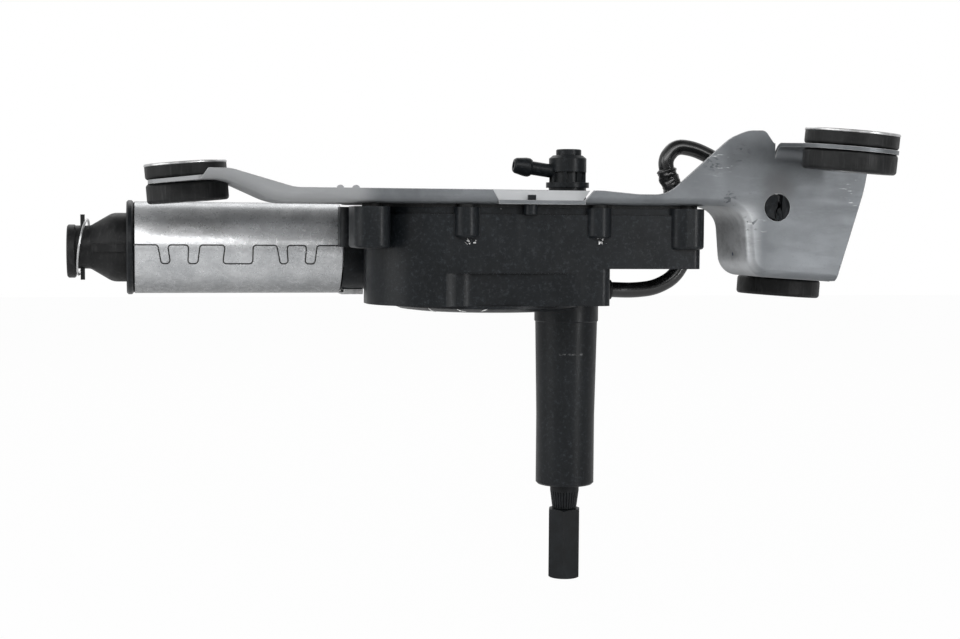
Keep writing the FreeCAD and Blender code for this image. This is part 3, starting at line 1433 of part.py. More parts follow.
def spindle_circlip():
    """Clip that keeps the spindle from dropping, above the rocker plate."""
    z0 = rocker_z0() + ROCKER_T + 0.2
    clip = ring(SPINDLE_R + 1.6, SPINDLE_R, 1.0, (0, 0, z0))
    gap = block(3, 10, -1.6, 1.6, z0 - 1, z0 + 2)
    return clip.cut(gap)


def hex_cap():
    """Long hexagonal cap over the threaded end."""
    knurl_end = -TUBE_LEN - WASHER_T - 0.3 - KNURL_LEN
    corner_r = CAP_AF / math.sqrt(3)
    points = []
    for k in range(6):
        angle = math.radians(CAP_TURN + 60 * k)
        points.append(vec(corner_r * math.cos(angle), corner_r * math.sin(angle), knurl_end - 0.3))
    prism = Part.Face(Part.makePolygon(points + [points[0]])).extrude(vec(0, 0, -CAP_LEN))
    cone_end = knurl_end - 0.3 - CAP_LEN
    profile = [
        (0, 0),
        (0, corner_r - 1.0),
        (0.9, corner_r + 0.1),
        (CAP_LEN - 0.7, corner_r + 0.1),
        (CAP_LEN, corner_r - 0.8),
        (CAP_LEN, 0),
    ]
    prism = prism.common(revolved(profile, (0, 0, cone_end), UP))
    tip = rod(2.2, CAP_TIP, (0, 0, cone_end), DOWN)
    tip = tip.makeChamfer(0.4, [tip.Edges[0]])
    bore = rod(STUD_R, CAP_LEN - 5.8, (0, 0, knurl_end - 0.3), DOWN)
    return prism.fuse(tip).cut(bore)


# Washer feed


def washer_fitting():
    """Moulded nozzle head over the hollow spindle, with a side barb for the hose."""
    base = FITTING_BASE_Z
    profile = [
        (PLATE_Z, SPINDLE_R + 0.6),
        (PLATE_Z, FITTING_SPIGOT_R),
        (base, FITTING_SPIGOT_R),
        (base, FITTING_BASE_R),
        (base + FITTING_BASE_H, FITTING_BASE_R),
        (base + FITTING_BASE_H, FITTING_WAIST_R),
        (FITTING_WAIST_Z, FITTING_WAIST_R),
        (FITTING_WAIST_Z, FITTING_R),
        (FITTING_SHOULDER_Z, FITTING_R),
        (FITTING_TOP_Z, FITTING_R - 1.6),
        (FITTING_TOP_Z, FEED_R),
        (SPINDLE_TOP_Z + 1.5, FEED_R),
        (SPINDLE_TOP_Z + 1.5, SPINDLE_R + 0.6),
    ]
    body = revolved(profile, (0, 0, 0), UP)
    ribs = []
    for k in range(FITTING_RIBS):
        rib_z0 = base + FITTING_BASE_H - 0.1
        rib = block(FITTING_WAIST_R - 0.4, FITTING_R - 0.2, -0.7, 0.7, rib_z0, FITTING_WAIST_Z + 0.1)
        rib.rotate(vec(0, 0, 0), UP, (k + 0.5) * 360.0 / FITTING_RIBS)
        ribs.append(rib)
    body = body.fuse(ribs)
    barb_axis = barb_direction()
    stem_start = vec(0, 0, BARB_Z) + barb_axis * 4.0
    stem = Part.makeCylinder(BARB_R, BARB_LEN - 4.5, stem_start, barb_axis)
    head_start = BARB_LEN - BARB_HEAD_LEN
    head = revolved(
        [
            (head_start, 0),
            (head_start, BARB_HEAD_R - 0.5),
            (head_start + 1.0, BARB_HEAD_R),
            (head_start + 2.6, BARB_HEAD_R),
            (BARB_LEN - 0.8, BARB_R + 0.35),
            (BARB_LEN, BARB_R - 0.3),
            (BARB_LEN, 0),
        ],
        (0, 0, BARB_Z),
        barb_axis,
    )
    body = body.fuse([stem, head]).removeSplitter()
    bore = Part.makeCylinder(BARB_BORE_R, BARB_LEN + 2, vec(0, 0, BARB_Z), barb_axis)
    well = rod(BARB_BORE_R + 0.4, 4.0, (0, 0, BARB_Z - 2))
    return body.cut([bore, well])


def barb_direction():
    return vec(-1, 0, BARB_RISE).normalize()


def washer_cap():
    """Round cover on top of the fitting."""
    z0 = FITTING_TOP_Z
    cap = rod(TOP_CAP_R, TOP_CAP_Z - z0, (0.4, 0, z0))
    return cap.makeChamfer(0.4, [cap.Edges[0]])


def washer_tube():
    """Plastic feed tube down the hollow spindle."""
    z0 = -60.0
    return ring(FEED_R - 0.05, FEED_BORE_R, BARB_Z - 2 - z0, (0, 0, z0))


# Lead


def boot_plug(grow):
    """Rubber boot where the lead leaves the housing."""
    x, y, z = LEAD_POINTS[0]
    return rod(LEAD_R + 1.6 + grow, 6.0, (BOOT_X0 - 3.0, y, z), BARREL_AXIS)


def lead_boot():
    x, y, z = LEAD_POINTS[0]
    shoulder = BOOT_X0 + BOOT_FLANGE
    flange = rod(LEAD_R + 1.6, shoulder - BOOT_X0 + 3.0, (BOOT_X0 - 3.0, y, z), BARREL_AXIS)
    nose = Part.makeCone(LEAD_R + 1.5, LEAD_R + 0.9, x - shoulder, vec(shoulder, y, z), BARREL_AXIS)
    body = flange.fuse(nose)
    return body.cut(rod(LEAD_R, 30, (BOOT_X0 - 10, y, z), BARREL_AXIS))


def lead_wire():
    """Straight runs joined by tangent arcs through the chosen points."""
    points = [vec(*p) for p in LEAD_POINTS]
    edges = []
    radii = []
    start = points[0]
    for before, corner, after in zip(points, points[1:], points[2:]):
        back = before - corner
        ahead = after - corner
        shorter = min(back.Length, ahead.Length)
        back.normalize()
        ahead.normalize()
        half_turn = (math.pi - back.getAngle(ahead)) / 2
        reach = 0.45 * shorter
        radius = reach / math.tan(half_turn)
        radii.append(radius)
        entry = corner + back * reach
        leave = corner + ahead * reach
        middle = (back + ahead).normalize()
        crown = corner + middle * (radius / math.cos(half_turn) - radius)
        if (entry - start).Length > 1e-6:
            edges.append(Part.LineSegment(start, entry).toShape())
        edges.append(Part.Arc(entry, crown, leave).toShape())
        start = leave
    edges.append(Part.LineSegment(start, points[-1]).toShape())
    wire = Part.Wire(edges)
    print("lead arc radii", [round(r, 1) for r in radii], "length", round(wire.Length, 1))
    return wire


def lead_sleeve():
    wire = lead_wire()
    first = wire.Edges[0]
    axis = first.tangentAt(first.FirstParameter)
    section = Part.Wire([Part.makeCircle(LEAD_R, vec(*LEAD_POINTS[0]), axis)])
    tube = wire.makePipeShell([section], True, False)
    print("lead volume share", round(tube.Volume / (math.pi * LEAD_R**2 * wire.Length), 4))
    return tube


def connector():
    """Plug behind the face plate, with the lead coming in from the back."""
    x, z = CLIP_HOLE
    y0 = PLUG_FRONT_Y
    y1 = PLUG_FRONT_Y + PLUG_LEN
    body = block(x - PLUG_W / 2, x + PLUG_W / 2, y0, y1 - 6, z - PLUG_H / 2, z + PLUG_H / 2)
    body = body.makeFillet(1.5, [e for e in body.Edges if e.BoundBox.YLength > 5])
    neck = rod(LEAD_R + 1.2, 6.0, (x, y1 - 6, z), vec(0, 1, 0))
    socket = rod(2.6, 8.0, (x, y0 - 1, z), vec(0, 1, 0))
    entry = rod(LEAD_R, 0.4, (x, y1 - 0.3, z), vec(0, 1, 0))
    return body.fuse(neck).cut([socket, entry])


def connector_clip():
    """Split clip that holds the plug in the hole of the face plate."""
    x, z = CLIP_HOLE
    front = FACE_Y - 0.6
    head = rod(CLIP_HOLE_R - 0.1, PLUG_FRONT_Y - front, (x, front, z), vec(0, 1, 0))
    head = head.cut(block(x - 1.0, x + 1.4, FACE_Y - 2, FACE_Y + 3, z + 0.5, z + CLIP_HOLE_R + 1))
    stem = rod(2.55, 6.0, (x, PLUG_FRONT_Y - 0.2, z), vec(0, 1, 0))
    return head.fuse(stem)


def tape_wrap():
    """Tape round the lead where it climbs past the bracket."""
    edges = lead_wire().Edges[TAPE_FIRST_EDGE:TAPE_FIRST_EDGE + TAPE_EDGES]
    path = Part.Wire(edges)
    first = path.Edges[0]
    start = first.valueAt(first.FirstParameter)
    axis = first.tangentAt(first.FirstParameter)
    tubes = []
    for radius in (LEAD_R + TAPE_T, LEAD_R + TAPE_GAP):
        section = Part.Wire([Part.makeCircle(radius, start, axis)])
        tubes.append(path.makePipeShell([section], True, False))
    return tubes[0].cut(tubes[1])


PARTS = {
    "gear_housing": gear_housing,
    "housing_gasket": housing_gasket,
    "cover_screws": cover_screws,
    "locating_peg": locating_peg,
    "output_tube": output_tube,
    "upper_spindle_bush": lambda: spindle_bush(SPIGOT_TOP - BUSH_LEN),
    "lower_spindle_bush": lambda: spindle_bush(-TUBE_LEN + 2.8),
    "spindle_seal": spindle_seal,
    "output_spindle": output_spindle,
    "output_pinion": output_pinion,
    "tube_washer": tube_washer,
    "spindle_circlip": spindle_circlip,
    "hex_cap": hex_cap,
    "worm_wheel": worm_wheel,
    "wheel_axle": wheel_axle,
    "crank_pin": crank_pin,
    "contact_disc": contact_disc,
    "contact_board": contact_board,
    "contact_fingers": contact_fingers,
    "board_posts": board_posts,
    "rocker_plate": rocker_plate,
    "rocker_pin": rocker_pin,
    "sector_link": sector_link,
    "motor_barrel": motor_barrel,
    "magnets": magnets,
    "armature_shaft": armature_shaft,
    "worm": worm,
    "lamination_stack": lamination_stack,
    "windings": windings,
    "commutator": commutator,
    "brushes": brushes,
    "brush_springs": brush_springs,
    "brush_carrier": brush_carrier,
    "retaining_clip": retaining_clip,
    "front_bearing": front_bearing,
    "rear_bearing": rear_bearing,
    "thrust_pad": thrust_pad,
    "end_cap": end_cap,
    "rubber_nose": rubber_nose,
    "nose_clip_ring": nose_clip_ring,
    "washer_fitting": washer_fitting,
    "washer_cap": washer_cap,
    "washer_tube": washer_tube,
    "lead_boot": lead_boot,
    "lead_sleeve": lead_sleeve,
    "tape_wrap": tape_wrap,
    "connector": connector,
    "connector_clip": connector_clip,
}


def mounts():
    return {
        "left": (left_mount(), left_normal(), RUBBER_R),
        "upper": (MOUNT_UPPER, upper_normal(), RUBBER_BIG_R),
        "lower": (lower_mount(), lower_normal(), RUBBER_BIG_R),
    }


def write(name, shape):
    shape.exportStep(os.path.join("parts", name + ".step"))
    solids = shape.Solids
    if not solids or not shape.isValid():
        print("CHECK", name, "solids", len(solids), "valid", shape.isValid())


def main():
    os.makedirs("parts", exist_ok=True)
    sheet = mounting_bracket()
    write("mounting_bracket", sheet)
    for name, make in PARTS.items():
        write(name, make())
    for side, (centre, normal, radius) in mounts().items():
        write(side + "_grommet", grommet(centre, normal, radius, sheet))
        write(side + "_mount_bush", flanged_bush(centre, normal, radius))


main()
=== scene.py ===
"""Looks for the rear wiper motor.

Camera, studio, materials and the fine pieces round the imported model.
"""
import bmesh
import bpy
import json
import math
import random
from mathutils import Matrix, Vector, noise


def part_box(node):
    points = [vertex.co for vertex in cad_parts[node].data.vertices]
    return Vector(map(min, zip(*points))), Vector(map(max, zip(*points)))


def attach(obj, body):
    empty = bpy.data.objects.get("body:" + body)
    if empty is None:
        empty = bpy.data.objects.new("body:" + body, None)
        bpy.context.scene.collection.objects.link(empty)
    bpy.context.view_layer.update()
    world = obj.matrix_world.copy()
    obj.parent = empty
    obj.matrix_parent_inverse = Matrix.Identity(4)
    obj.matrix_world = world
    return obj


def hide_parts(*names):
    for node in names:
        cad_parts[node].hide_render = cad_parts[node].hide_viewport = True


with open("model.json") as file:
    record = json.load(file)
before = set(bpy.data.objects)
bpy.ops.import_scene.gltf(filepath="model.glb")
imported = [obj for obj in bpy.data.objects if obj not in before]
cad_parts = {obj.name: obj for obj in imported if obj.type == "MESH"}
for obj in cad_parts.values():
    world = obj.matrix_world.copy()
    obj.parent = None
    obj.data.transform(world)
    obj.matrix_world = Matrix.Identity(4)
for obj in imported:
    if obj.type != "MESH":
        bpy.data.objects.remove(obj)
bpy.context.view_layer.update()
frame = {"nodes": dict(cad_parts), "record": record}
MM = 0.001

# Photograph's frame and the camera that fits it
PHOTO_WIDTH = 960
FOCAL_PX = 1577.0
SENSOR = 36.0
AZIMUTH = math.radians(-12.0)
ELEVATION = math.radians(3.4)
ROLL = math.radians(0.4)
CAMERA_AT = Vector((-0.1770, -0.6546, 0.0321))


def add_camera():
    back = Vector(
        (
            math.sin(AZIMUTH) * math.cos(ELEVATION),
            -math.cos(AZIMUTH) * math.cos(ELEVATION),
            math.sin(ELEVATION),
        )
    )
    level = Vector((math.cos(AZIMUTH), math.sin(AZIMUTH), 0))
    upright = back.cross(level)
    right = level * math.cos(ROLL) + upright * math.sin(ROLL)
    up = upright * math.cos(ROLL) - level * math.sin(ROLL)
    data = bpy.data.cameras.new("camera")
    data.sensor_width = SENSOR
    data.lens = SENSOR * FOCAL_PX / PHOTO_WIDTH
    data.clip_start = 0.01
    data.clip_end = 50
    camera = bpy.data.objects.new("camera", data)
    camera.matrix_world = Matrix(
        (
            (right.x, up.x, back.x, CAMERA_AT.x),
            (right.y, up.y, back.y, CAMERA_AT.y),
            (right.z, up.z, back.z, CAMERA_AT.z),
            (0, 0, 0, 1),
        )
    )
    bpy.context.collection.objects.link(camera)
    bpy.context.scene.camera = camera


add_camera()


# Places of the colour sockets on a Mix node, where its other types share their names
MIX_A = 6
MIX_B = 7
MIX_RESULT = 2
BEVEL_SAMPLES = 4
HOLLOW_SAMPLES = 6
# Share of a spot's or a speck's reach that is full before it fades
SPOT_CORE = 0.25
SPECK_CORE = 0.6


class Nodes:
    """Short calls that add nodes to a node tree."""

    def __init__(self, tree):
        self.tree = tree
        tree.nodes.clear()

    def add(self, kind):
        return self.tree.nodes.new("ShaderNode" + kind)

    def put(self, socket, value):
        if isinstance(value, bpy.types.NodeSocket):
            self.tree.links.new(value, socket)
        elif isinstance(value, (tuple, list)) and len(value) == 3 and socket.type == "RGBA":
            socket.default_value = (*value, 1.0)
        else:
            socket.default_value = value

    def ramp(self, value, low, high, start=0.0, end=1.0):
        """Carries low..high smoothly onto start..end."""
        node = self.add("MapRange")
        node.interpolation_type = "SMOOTHSTEP"
        names = ("Value", "From Min", "From Max", "To Min", "To Max")
        for name, number in zip(names, (value, low, high, start, end)):
            self.put(node.inputs[name], number)
        return node.outputs[0]

    def math(self, operation, a, b=0.0):
        node = self.add("Math")
        node.operation = operation
        self.put(node.inputs[0], a)
        self.put(node.inputs[1], b)
        return node.outputs[0]

    def times(self, a, b):
        return self.math("MULTIPLY", a, b)

    def most(self, *values):
        result = values[0]
        for value in values[1:]:
            result = self.math("MAXIMUM", result, value)
        return result

    def mix(self, fac, a, b):
        node = self.add("Mix")
        node.data_type = "RGBA"
        self.put(node.inputs[0], fac)
        self.put(node.inputs[MIX_A], a)
        self.put(node.inputs[MIX_B], b)
        return node.outputs[MIX_RESULT]

    def parts_of(self, vector):
        node = self.add("SeparateXYZ")
        self.put(node.inputs[0], vector)
        return node.outputs


class Shader(Nodes):
    """A principled material built from noise in object space."""

    def __init__(self, name):
        self.material = bpy.data.materials.new(name)
        self.material.use_nodes = True
        super().__init__(self.material.node_tree)
        self.bsdf = self.add("BsdfPrincipled")
        self.tree.links.new(self.bsdf.outputs[0], self.add("OutputMaterial").inputs[0])
        self.coord = self.add("TexCoord").outputs["Object"]

    def set(self, **values):
        for name, value in values.items():
            self.put(self.bsdf.inputs[name.replace("_", " ")], value)
        return self

    def stretch(self, scale):
        node = self.add("Mapping")
        node.inputs["Scale"].default_value = scale
        self.put(node.inputs["Vector"], self.coord)
        return node.outputs[0]

    def noise(self, per_mm, detail=4.0, rough=0.55, coord=None, distortion=0.0):
        node = self.add("TexNoise")
        node.inputs["Scale"].default_value = per_mm / MM
        node.inputs["Detail"].default_value = detail
        node.inputs["Roughness"].default_value = rough
        node.inputs["Distortion"].default_value = distortion
        self.put(node.inputs["Vector"], coord or self.coord)
        return node.outputs["Fac"]

    def specks(self, per_mm, size_mm):
        """Round specks of a size, one in each cell."""
        node = self.add("TexVoronoi")
        node.inputs["Scale"].default_value = per_mm / MM
        self.put(node.inputs["Vector"], self.coord)
        reach = size_mm * per_mm
        return self.ramp(node.outputs["Distance"], reach * SPECK_CORE, reach, 1.0, 0.0)

    def near(self, at_mm, reach_mm):
        """1 at a place on the object, fading to 0 at a distance."""
        node = self.add("VectorMath")
        node.operation = "DISTANCE"
        self.put(node.inputs[0], self.coord)
        node.inputs[1].default_value = [c * MM for c in at_mm]
        core = reach_mm * SPOT_CORE * MM
        return self.ramp(node.outputs["Value"], core, reach_mm * MM, 1.0, 0.0)

    def within(self, low_mm, high_mm, soft_mm):
        """1 inside a box on the object, fading to 0 at its sides."""
        inside = 1.0
        for axis, low, high in zip(self.parts_of(self.coord), low_mm, high_mm):
            rise = self.ramp(axis, low * MM, (low + soft_mm) * MM)
            fall = self.ramp(axis, (high - soft_mm) * MM, high * MM, 1.0, 0.0)
            inside = self.times(inside, self.times(rise, fall))
        return inside

    def bevel(self, radius_mm):
        node = self.add("Bevel")
        node.samples = BEVEL_SAMPLES
        node.inputs["Radius"].default_value = radius_mm * MM
        return node.outputs[0]

    def edge(self, radius_mm):
        """1 on edges that a small rounding would catch, 0 on the flats."""
        dot = self.add("VectorMath")
        dot.operation = "DOT_PRODUCT"
        self.put(dot.inputs[0], self.bevel(radius_mm))
        self.put(dot.inputs[1], self.add("NewGeometry").outputs["Normal"])
        return self.ramp(self.math("SUBTRACT", 1.0, dot.outputs["Value"]), 0.02, 0.3)

    def hollow(self, reach_mm, low=0.35, high=0.8):
        """1 down in grooves and corners, 0 in the open."""
        node = self.add("AmbientOcclusion")
        node.samples = HOLLOW_SAMPLES
        node.inputs["Distance"].default_value = reach_mm * MM
        return self.ramp(node.outputs["AO"], low, high, 1.0, 0.0)

    def bump(self, layers, soften_mm=0.0):
        """Stacks (height, depth in mm) layers, over edges softened by a radius."""
        normal = self.bevel(soften_mm) if soften_mm else None
        for height, depth_mm in layers:
            node = self.add("Bump")
            node.inputs["Distance"].default_value = depth_mm * MM
            self.put(node.inputs["Height"], height)
            if normal is not None:
                self.put(node.inputs["Normal"], normal)
            normal = node.outputs[0]
        self.put(self.bsdf.inputs["Normal"], normal)
        return self


def grey(level, blue=0.0):
    return (level, level * (1 + blue * 0.5), level * (1 + blue))


# Metals

# Share of metal, chosen for the look: the real sheet and yoke are metal throughout
SHEET_METALLIC = 0.6
YOKE_METALLIC = 0.55
# Shine of the dull black pieces
DULL_SPECULAR = 0.22

# Places on the bracket where the photograph shows marks, in millimetres
FACE_DENTS = (
    (60.5, -46.8, 62.0),
    (47.9, -46.8, 57.6),
    (55.0, -46.8, 43.5),
    (64.5, -46.8, 33.5),
)
FACE_SCUFFS = ((64.7, -46.8, 32.6), (52.0, -46.8, 58.5), (109.6, -46.8, 47.0))
WALL_SCUFFS = ((62.4, -34.0, 22.0), (62.8, -22.0, 30.0))
PAINT_FLECK = (63.4, -30.0, 21.0)

# Light and shade of the photograph, painted on the bracket: tones that don't follow the lamps.
# The shades are places, the lit parts boxes with their softness.
SHADED_HOLE = (76.6, -46.8, 48.2)
SHADED_FOLD = (62.0, -46.8, 38.0)
LIT_TAB = ((-42.5, -45.6, 42.4), (-1.6, -38.0, 48.0), 0.2)
LIT_ARM = ((-190.0, -70.0, 20.0), (-86.0, 30.0, 90.0), 12.0)
LIT_WALL = ((50.0, -52.0, -4.0), (71.0, 0.0, 44.0), 9.0)


def zinc_sheet():
    """Dull zinc plated sheet: smears, pits, scuffs, pale cut edges and painted light and shade."""
    s = Shader("zinc_sheet")
    clouds = s.noise(0.03, 5, 0.6)
    smears = s.noise(0.10, 6, 0.65, coord=s.stretch((0.4, 1, 1.6)))
    grain = s.noise(0.8, 5, 0.75)
    pits = s.ramp(s.noise(0.6, 2, 0.5), 0.71, 0.76)
    scratches = s.ramp(s.noise(0.7, 3, 0.6, coord=s.stretch((0.25, 1, 2.2))), 0.62, 0.70)
    scuffed = s.most(*[s.near(at, 8.0) for at in FACE_SCUFFS + WALL_SCUFFS])
    dented = s.most(*[s.near(at, 5.0) for at in FACE_DENTS])
    folds = s.noise(0.35, 2, 0.5, coord=s.stretch((1, 1, 1.8)), distortion=0.8)
    creases = s.times(dented, s.ramp(folds, 0.56, 0.62))
    colour = s.mix(s.ramp(clouds, 0.35, 0.65), grey(0.12, 0.14), grey(0.17, 0.13))
    colour = s.mix(s.ramp(smears, 0.5, 0.75, 0.0, 0.5), colour, grey(0.26, 0.10))
    colour = s.mix(s.ramp(grain, 0.55, 0.75, 0.0, 0.35), colour, grey(0.09, 0.10))
    colour = s.mix(s.times(pits, 0.45), colour, grey(0.14, 0.05))
    colour = s.mix(s.times(s.times(scuffed, scratches), 0.7), colour, grey(0.80, 0.02))
    colour = s.mix(s.times(s.edge(0.4), 0.85), colour, grey(0.90, 0.0))
    # Painted shade: the sheet is darker down in hollows and corners
    colour = s.mix(s.times(s.hollow(2.5), 0.7), colour, grey(0.12, 0.03))
    colour = s.mix(s.times(s.near(SHADED_HOLE, 10.0), 0.6), colour, grey(0.10, 0.04))
    colour = s.mix(s.times(s.near(SHADED_FOLD, 10.0), 0.3), colour, grey(0.12, 0.06))
    colour = s.mix(s.times(s.within(*LIT_TAB), 0.8), colour, grey(0.95, 0.04))
    colour = s.mix(s.times(s.within(*LIT_ARM), 0.6), colour, grey(0.42, 0.03))
    lit_wall = s.times(s.within(*LIT_WALL), s.ramp(smears, 0.3, 0.6, 0.6, 1.0))
    colour = s.mix(lit_wall, colour, grey(0.72, 0.05))
    # Painted shade: the creases of the dents are darker in colour, besides being sunk by the bump
    colour = s.mix(s.times(creases, 0.8), colour, grey(0.07, 0.2))
    colour = s.mix(s.near(PAINT_FLECK, 1.3), colour, (0.02, 0.04, 0.12))
    roughness = s.ramp(smears, 0.3, 0.7, 0.36, 0.5)
    s.set(Base_Color=colour, Metallic=SHEET_METALLIC, Roughness=roughness)
    s.bump([(clouds, 0.10), (grain, 0.012), (pits, -0.02), (creases, -0.12)], 0.3)
    return s.material


GLUE_SPOT = (-84.0, 6.5, 13.0)
# Light and shade of the photograph, painted on the yoke by height: tones that don't follow the
# lamps. The band stands in for a reflection that the plate, arm and mount shade here: where it
# starts, is full, starts to fade and ends. Below, the yoke is full dark, then not at all.
PALE_BAND = (21, 25, 30, 34)
SHADE_BELOW = (3, 13)


def yoke_steel():
    """Bright zinc plate on rolled steel: blotches, streaks, specks, painted light, painted shade
    in seam.
    """
    s = Shader("yoke_steel")
    blotch = s.noise(0.08, 6, 0.7, distortion=0.5)
    streak = s.noise(0.4, 4, 0.6, coord=s.stretch((0.15, 1, 1)))
    mottle = s.noise(0.5, 5, 0.7)
    fine = s.noise(1.8, 3, 0.6)
    specks = s.ramp(s.noise(1.0, 3, 0.6), 0.66, 0.72)
    grimy = s.ramp(s.noise(0.06, 4, 0.6), 0.42, 0.62)
    colour = s.mix(s.ramp(blotch, 0.35, 0.68), grey(0.44, 0.06), grey(0.60, 0.04))
    colour = s.mix(s.ramp(streak, 0.55, 0.8, 0.0, 0.35), colour, grey(0.44, 0.03))
    colour = s.mix(s.ramp(mottle, 0.5, 0.7, 0.0, 0.35), colour, grey(0.36, 0.03))
    colour = s.mix(s.times(s.times(specks, grimy), 0.75), colour, grey(0.10, 0.0))
    height = s.parts_of(s.coord)["Z"]
    starts, full, fades, ends = (level * MM for level in PALE_BAND)
    band = s.times(s.ramp(height, starts, full), s.ramp(height, fades, ends, 1.0, 0.0))
    colour = s.mix(s.times(band, s.ramp(mottle, 0.3, 0.7, 0.9, 0.5)), colour, grey(0.92, 0.02))
    dark, clear = (level * MM for level in SHADE_BELOW)
    shade = s.ramp(height, dark, clear, 0.75, 0.0)
    colour = s.mix(s.times(shade, s.ramp(mottle, 0.35, 0.6, 0.6, 1.0)), colour, grey(0.14, 0.04))
    colour = s.mix(s.times(s.edge(0.25), 0.8), colour, grey(0.95, 0.0))
    # Painted shade: near black down in the seam and other grooves
    colour = s.mix(s.hollow(1.3, 0.6, 0.97), colour, grey(0.004, 0.0))
    colour = s.mix(s.times(s.near(GLUE_SPOT, 3.2), 0.8), colour, (0.10, 0.055, 0.02))
    roughness = s.ramp(mottle, 0.3, 0.7, 0.25, 0.34)
    s.set(Base_Color=colour, Metallic=YOKE_METALLIC, Roughness=roughness)
    s.bump([(blotch, 0.06), (fine, 0.006), (specks, -0.02)], 0.25)
    return s.material


def bright_steel(name, level, rough_low, rough_high, grain=0.01):
    """Plated steel with pale blotches and small dark pits."""
    s = Shader(name)
    blotch = s.noise(0.25, 5, 0.65)
    fine = s.noise(2.2, 3, 0.6)
    colour = s.mix(s.ramp(blotch, 0.35, 0.7), grey(level * 0.7, 0.02), grey(level, 0.0))
    colour = s.mix(s.ramp(fine, 0.60, 0.72, 0.0, 0.6), colour, grey(level * 0.3, 0.0))
    # Painted shade: darker down in hollows and corners
    colour = s.mix(s.times(s.hollow(0.8), 0.6), colour, grey(0.05, 0.0))
    roughness = s.ramp(blotch, 0.3, 0.7, rough_low, rough_high)
    s.set(Base_Color=colour, Metallic=1.0, Roughness=roughness)
    s.bump([(fine, grain)], 0.2)
    return s.material


def black_steel():
    """Black phosphated steel of the spindle, washer and cap."""
    s = Shader("black_steel")
    tone = s.noise(0.2, 5, 0.65)
    fine = s.noise(2.4, 3, 0.6)
    colour = s.mix(s.ramp(tone, 0.35, 0.7), grey(0.005, 0.4), grey(0.010, 0.4))
    colour = s.mix(s.times(s.edge(0.2), 0.4), colour, grey(0.09, 0.0))
    roughness = s.ramp(tone, 0.3, 0.7, 0.42, 0.54)
    s.set(Base_Color=colour, Roughness=roughness, Specular_IOR_Level=DULL_SPECULAR)
    s.bump([(fine, 0.012)], 0.15)
    return s.material


def turned_copper():
    s = Shader("copper")
    tone = s.noise(0.4, 4, 0.6)
    lines = s.noise(3.0, 2, 0.5, coord=s.stretch((1, 0.2, 0.2)))
    colour = s.mix(s.ramp(tone, 0.35, 0.7), (0.55, 0.24, 0.12), (0.80, 0.42, 0.24))
    s.set(Base_Color=colour, Metallic=1.0, Roughness=s.ramp(tone, 0.3, 0.7, 0.25, 0.45))
    s.bump([(lines, 0.02)])
    return s.material


# Plastics and rubber

# Scuffed strip across the tube's front: two corners and how soft it ends
TUBE_SCUFF = ((-6.5, -14.0, -22.6), (4.5, -10.5, -21.4), 0.5)


def moulded_plastic(name, level, rough_low, rough_high, dust=0.35, grain_mm=0.012):
    """Black moulding: fine grain, rubbed sheen, pale rubbed edges and a few specks of dust."""
    s = Shader(name)
    clouds = s.noise(0.05, 5, 0.6)
    grain = s.noise(2.4, 3, 0.6)
    rub = s.noise(0.3, 6, 0.7, coord=s.stretch((1, 1, 0.4)))
    specks = s.times(s.specks(0.16, 0.30), s.ramp(s.noise(0.07, 3, 0.6), 0.5, 0.6))
    colour = s.mix(s.ramp(clouds, 0.3, 0.7), grey(level * 0.8, 0.5), grey(level * 1.3, 0.45))
    colour = s.mix(s.ramp(rub, 0.55, 0.8, 0.0, 0.5), colour, grey(level * 2.0, 0.15))
    mottle = s.noise(0.7, 5, 0.8)
    colour = s.mix(s.ramp(mottle, 0.50, 0.70, 0.0, 0.75), colour, grey(level * 4.5, 0.35))
    colour = s.mix(s.ramp(grain, 0.60, 0.75, 0.0, 0.4), colour, grey(level * 2.6, 0.1))
    colour = s.mix(s.times(s.edge(0.25), 0.25), colour, grey(0.09, 0.05))
    scuffed = s.times(s.within(*TUBE_SCUFF), s.ramp(mottle, 0.45, 0.6))
    colour = s.mix(s.times(scuffed, 0.8), colour, grey(0.14, 0.05))
    colour = s.mix(s.times(specks, dust), colour, grey(0.45, 0.0))
    # Painted shade: darker down in hollows and corners
    colour = s.mix(s.times(s.hollow(1.5), 0.6), colour, grey(level * 0.3, 0.0))
    roughness = s.ramp(rub, 0.3, 0.75, rough_low, rough_high)
    s.set(Base_Color=colour, Roughness=roughness, Specular_IOR_Level=DULL_SPECULAR)
    s.bump([(clouds, 0.12), (grain, grain_mm)], 0.3)
    return s.material


def rubber(name, level, rough):
    """Moulded rubber with bloom on its faces, upright mould lines and rubbed edges."""
    s = Shader(name)
    bloom = s.noise(0.16, 6, 0.7)
    grain = s.noise(1.8, 3, 0.6)
    lines = s.noise(0.9, 3, 0.6, coord=s.stretch((1, 1, 0.08)))
    colour = s.mix(s.ramp(bloom, 0.42, 0.72), grey(level, 0.10), grey(level * 2.0, 0.06))
    colour = s.mix(s.ramp(lines, 0.52, 0.70, 0.0, 0.5), colour, grey(level * 4.5, 0.04))
    colour = s.mix(s.times(s.edge(0.4), 0.3), colour, grey(0.07, 0.0))
    # Painted shade: near black down in hollows and corners
    colour = s.mix(s.times(s.hollow(1.2), 0.7), colour, grey(0.003, 0.0))
    roughness = s.ramp(bloom, 0.35, 0.7, rough - 0.08, rough + 0.12)
    s.set(Base_Color=colour, Roughness=roughness, Specular_IOR_Level=DULL_SPECULAR)
    s.bump([(bloom, 0.12), (grain, 0.03), (lines, 0.06)], 0.3)
    return s.material


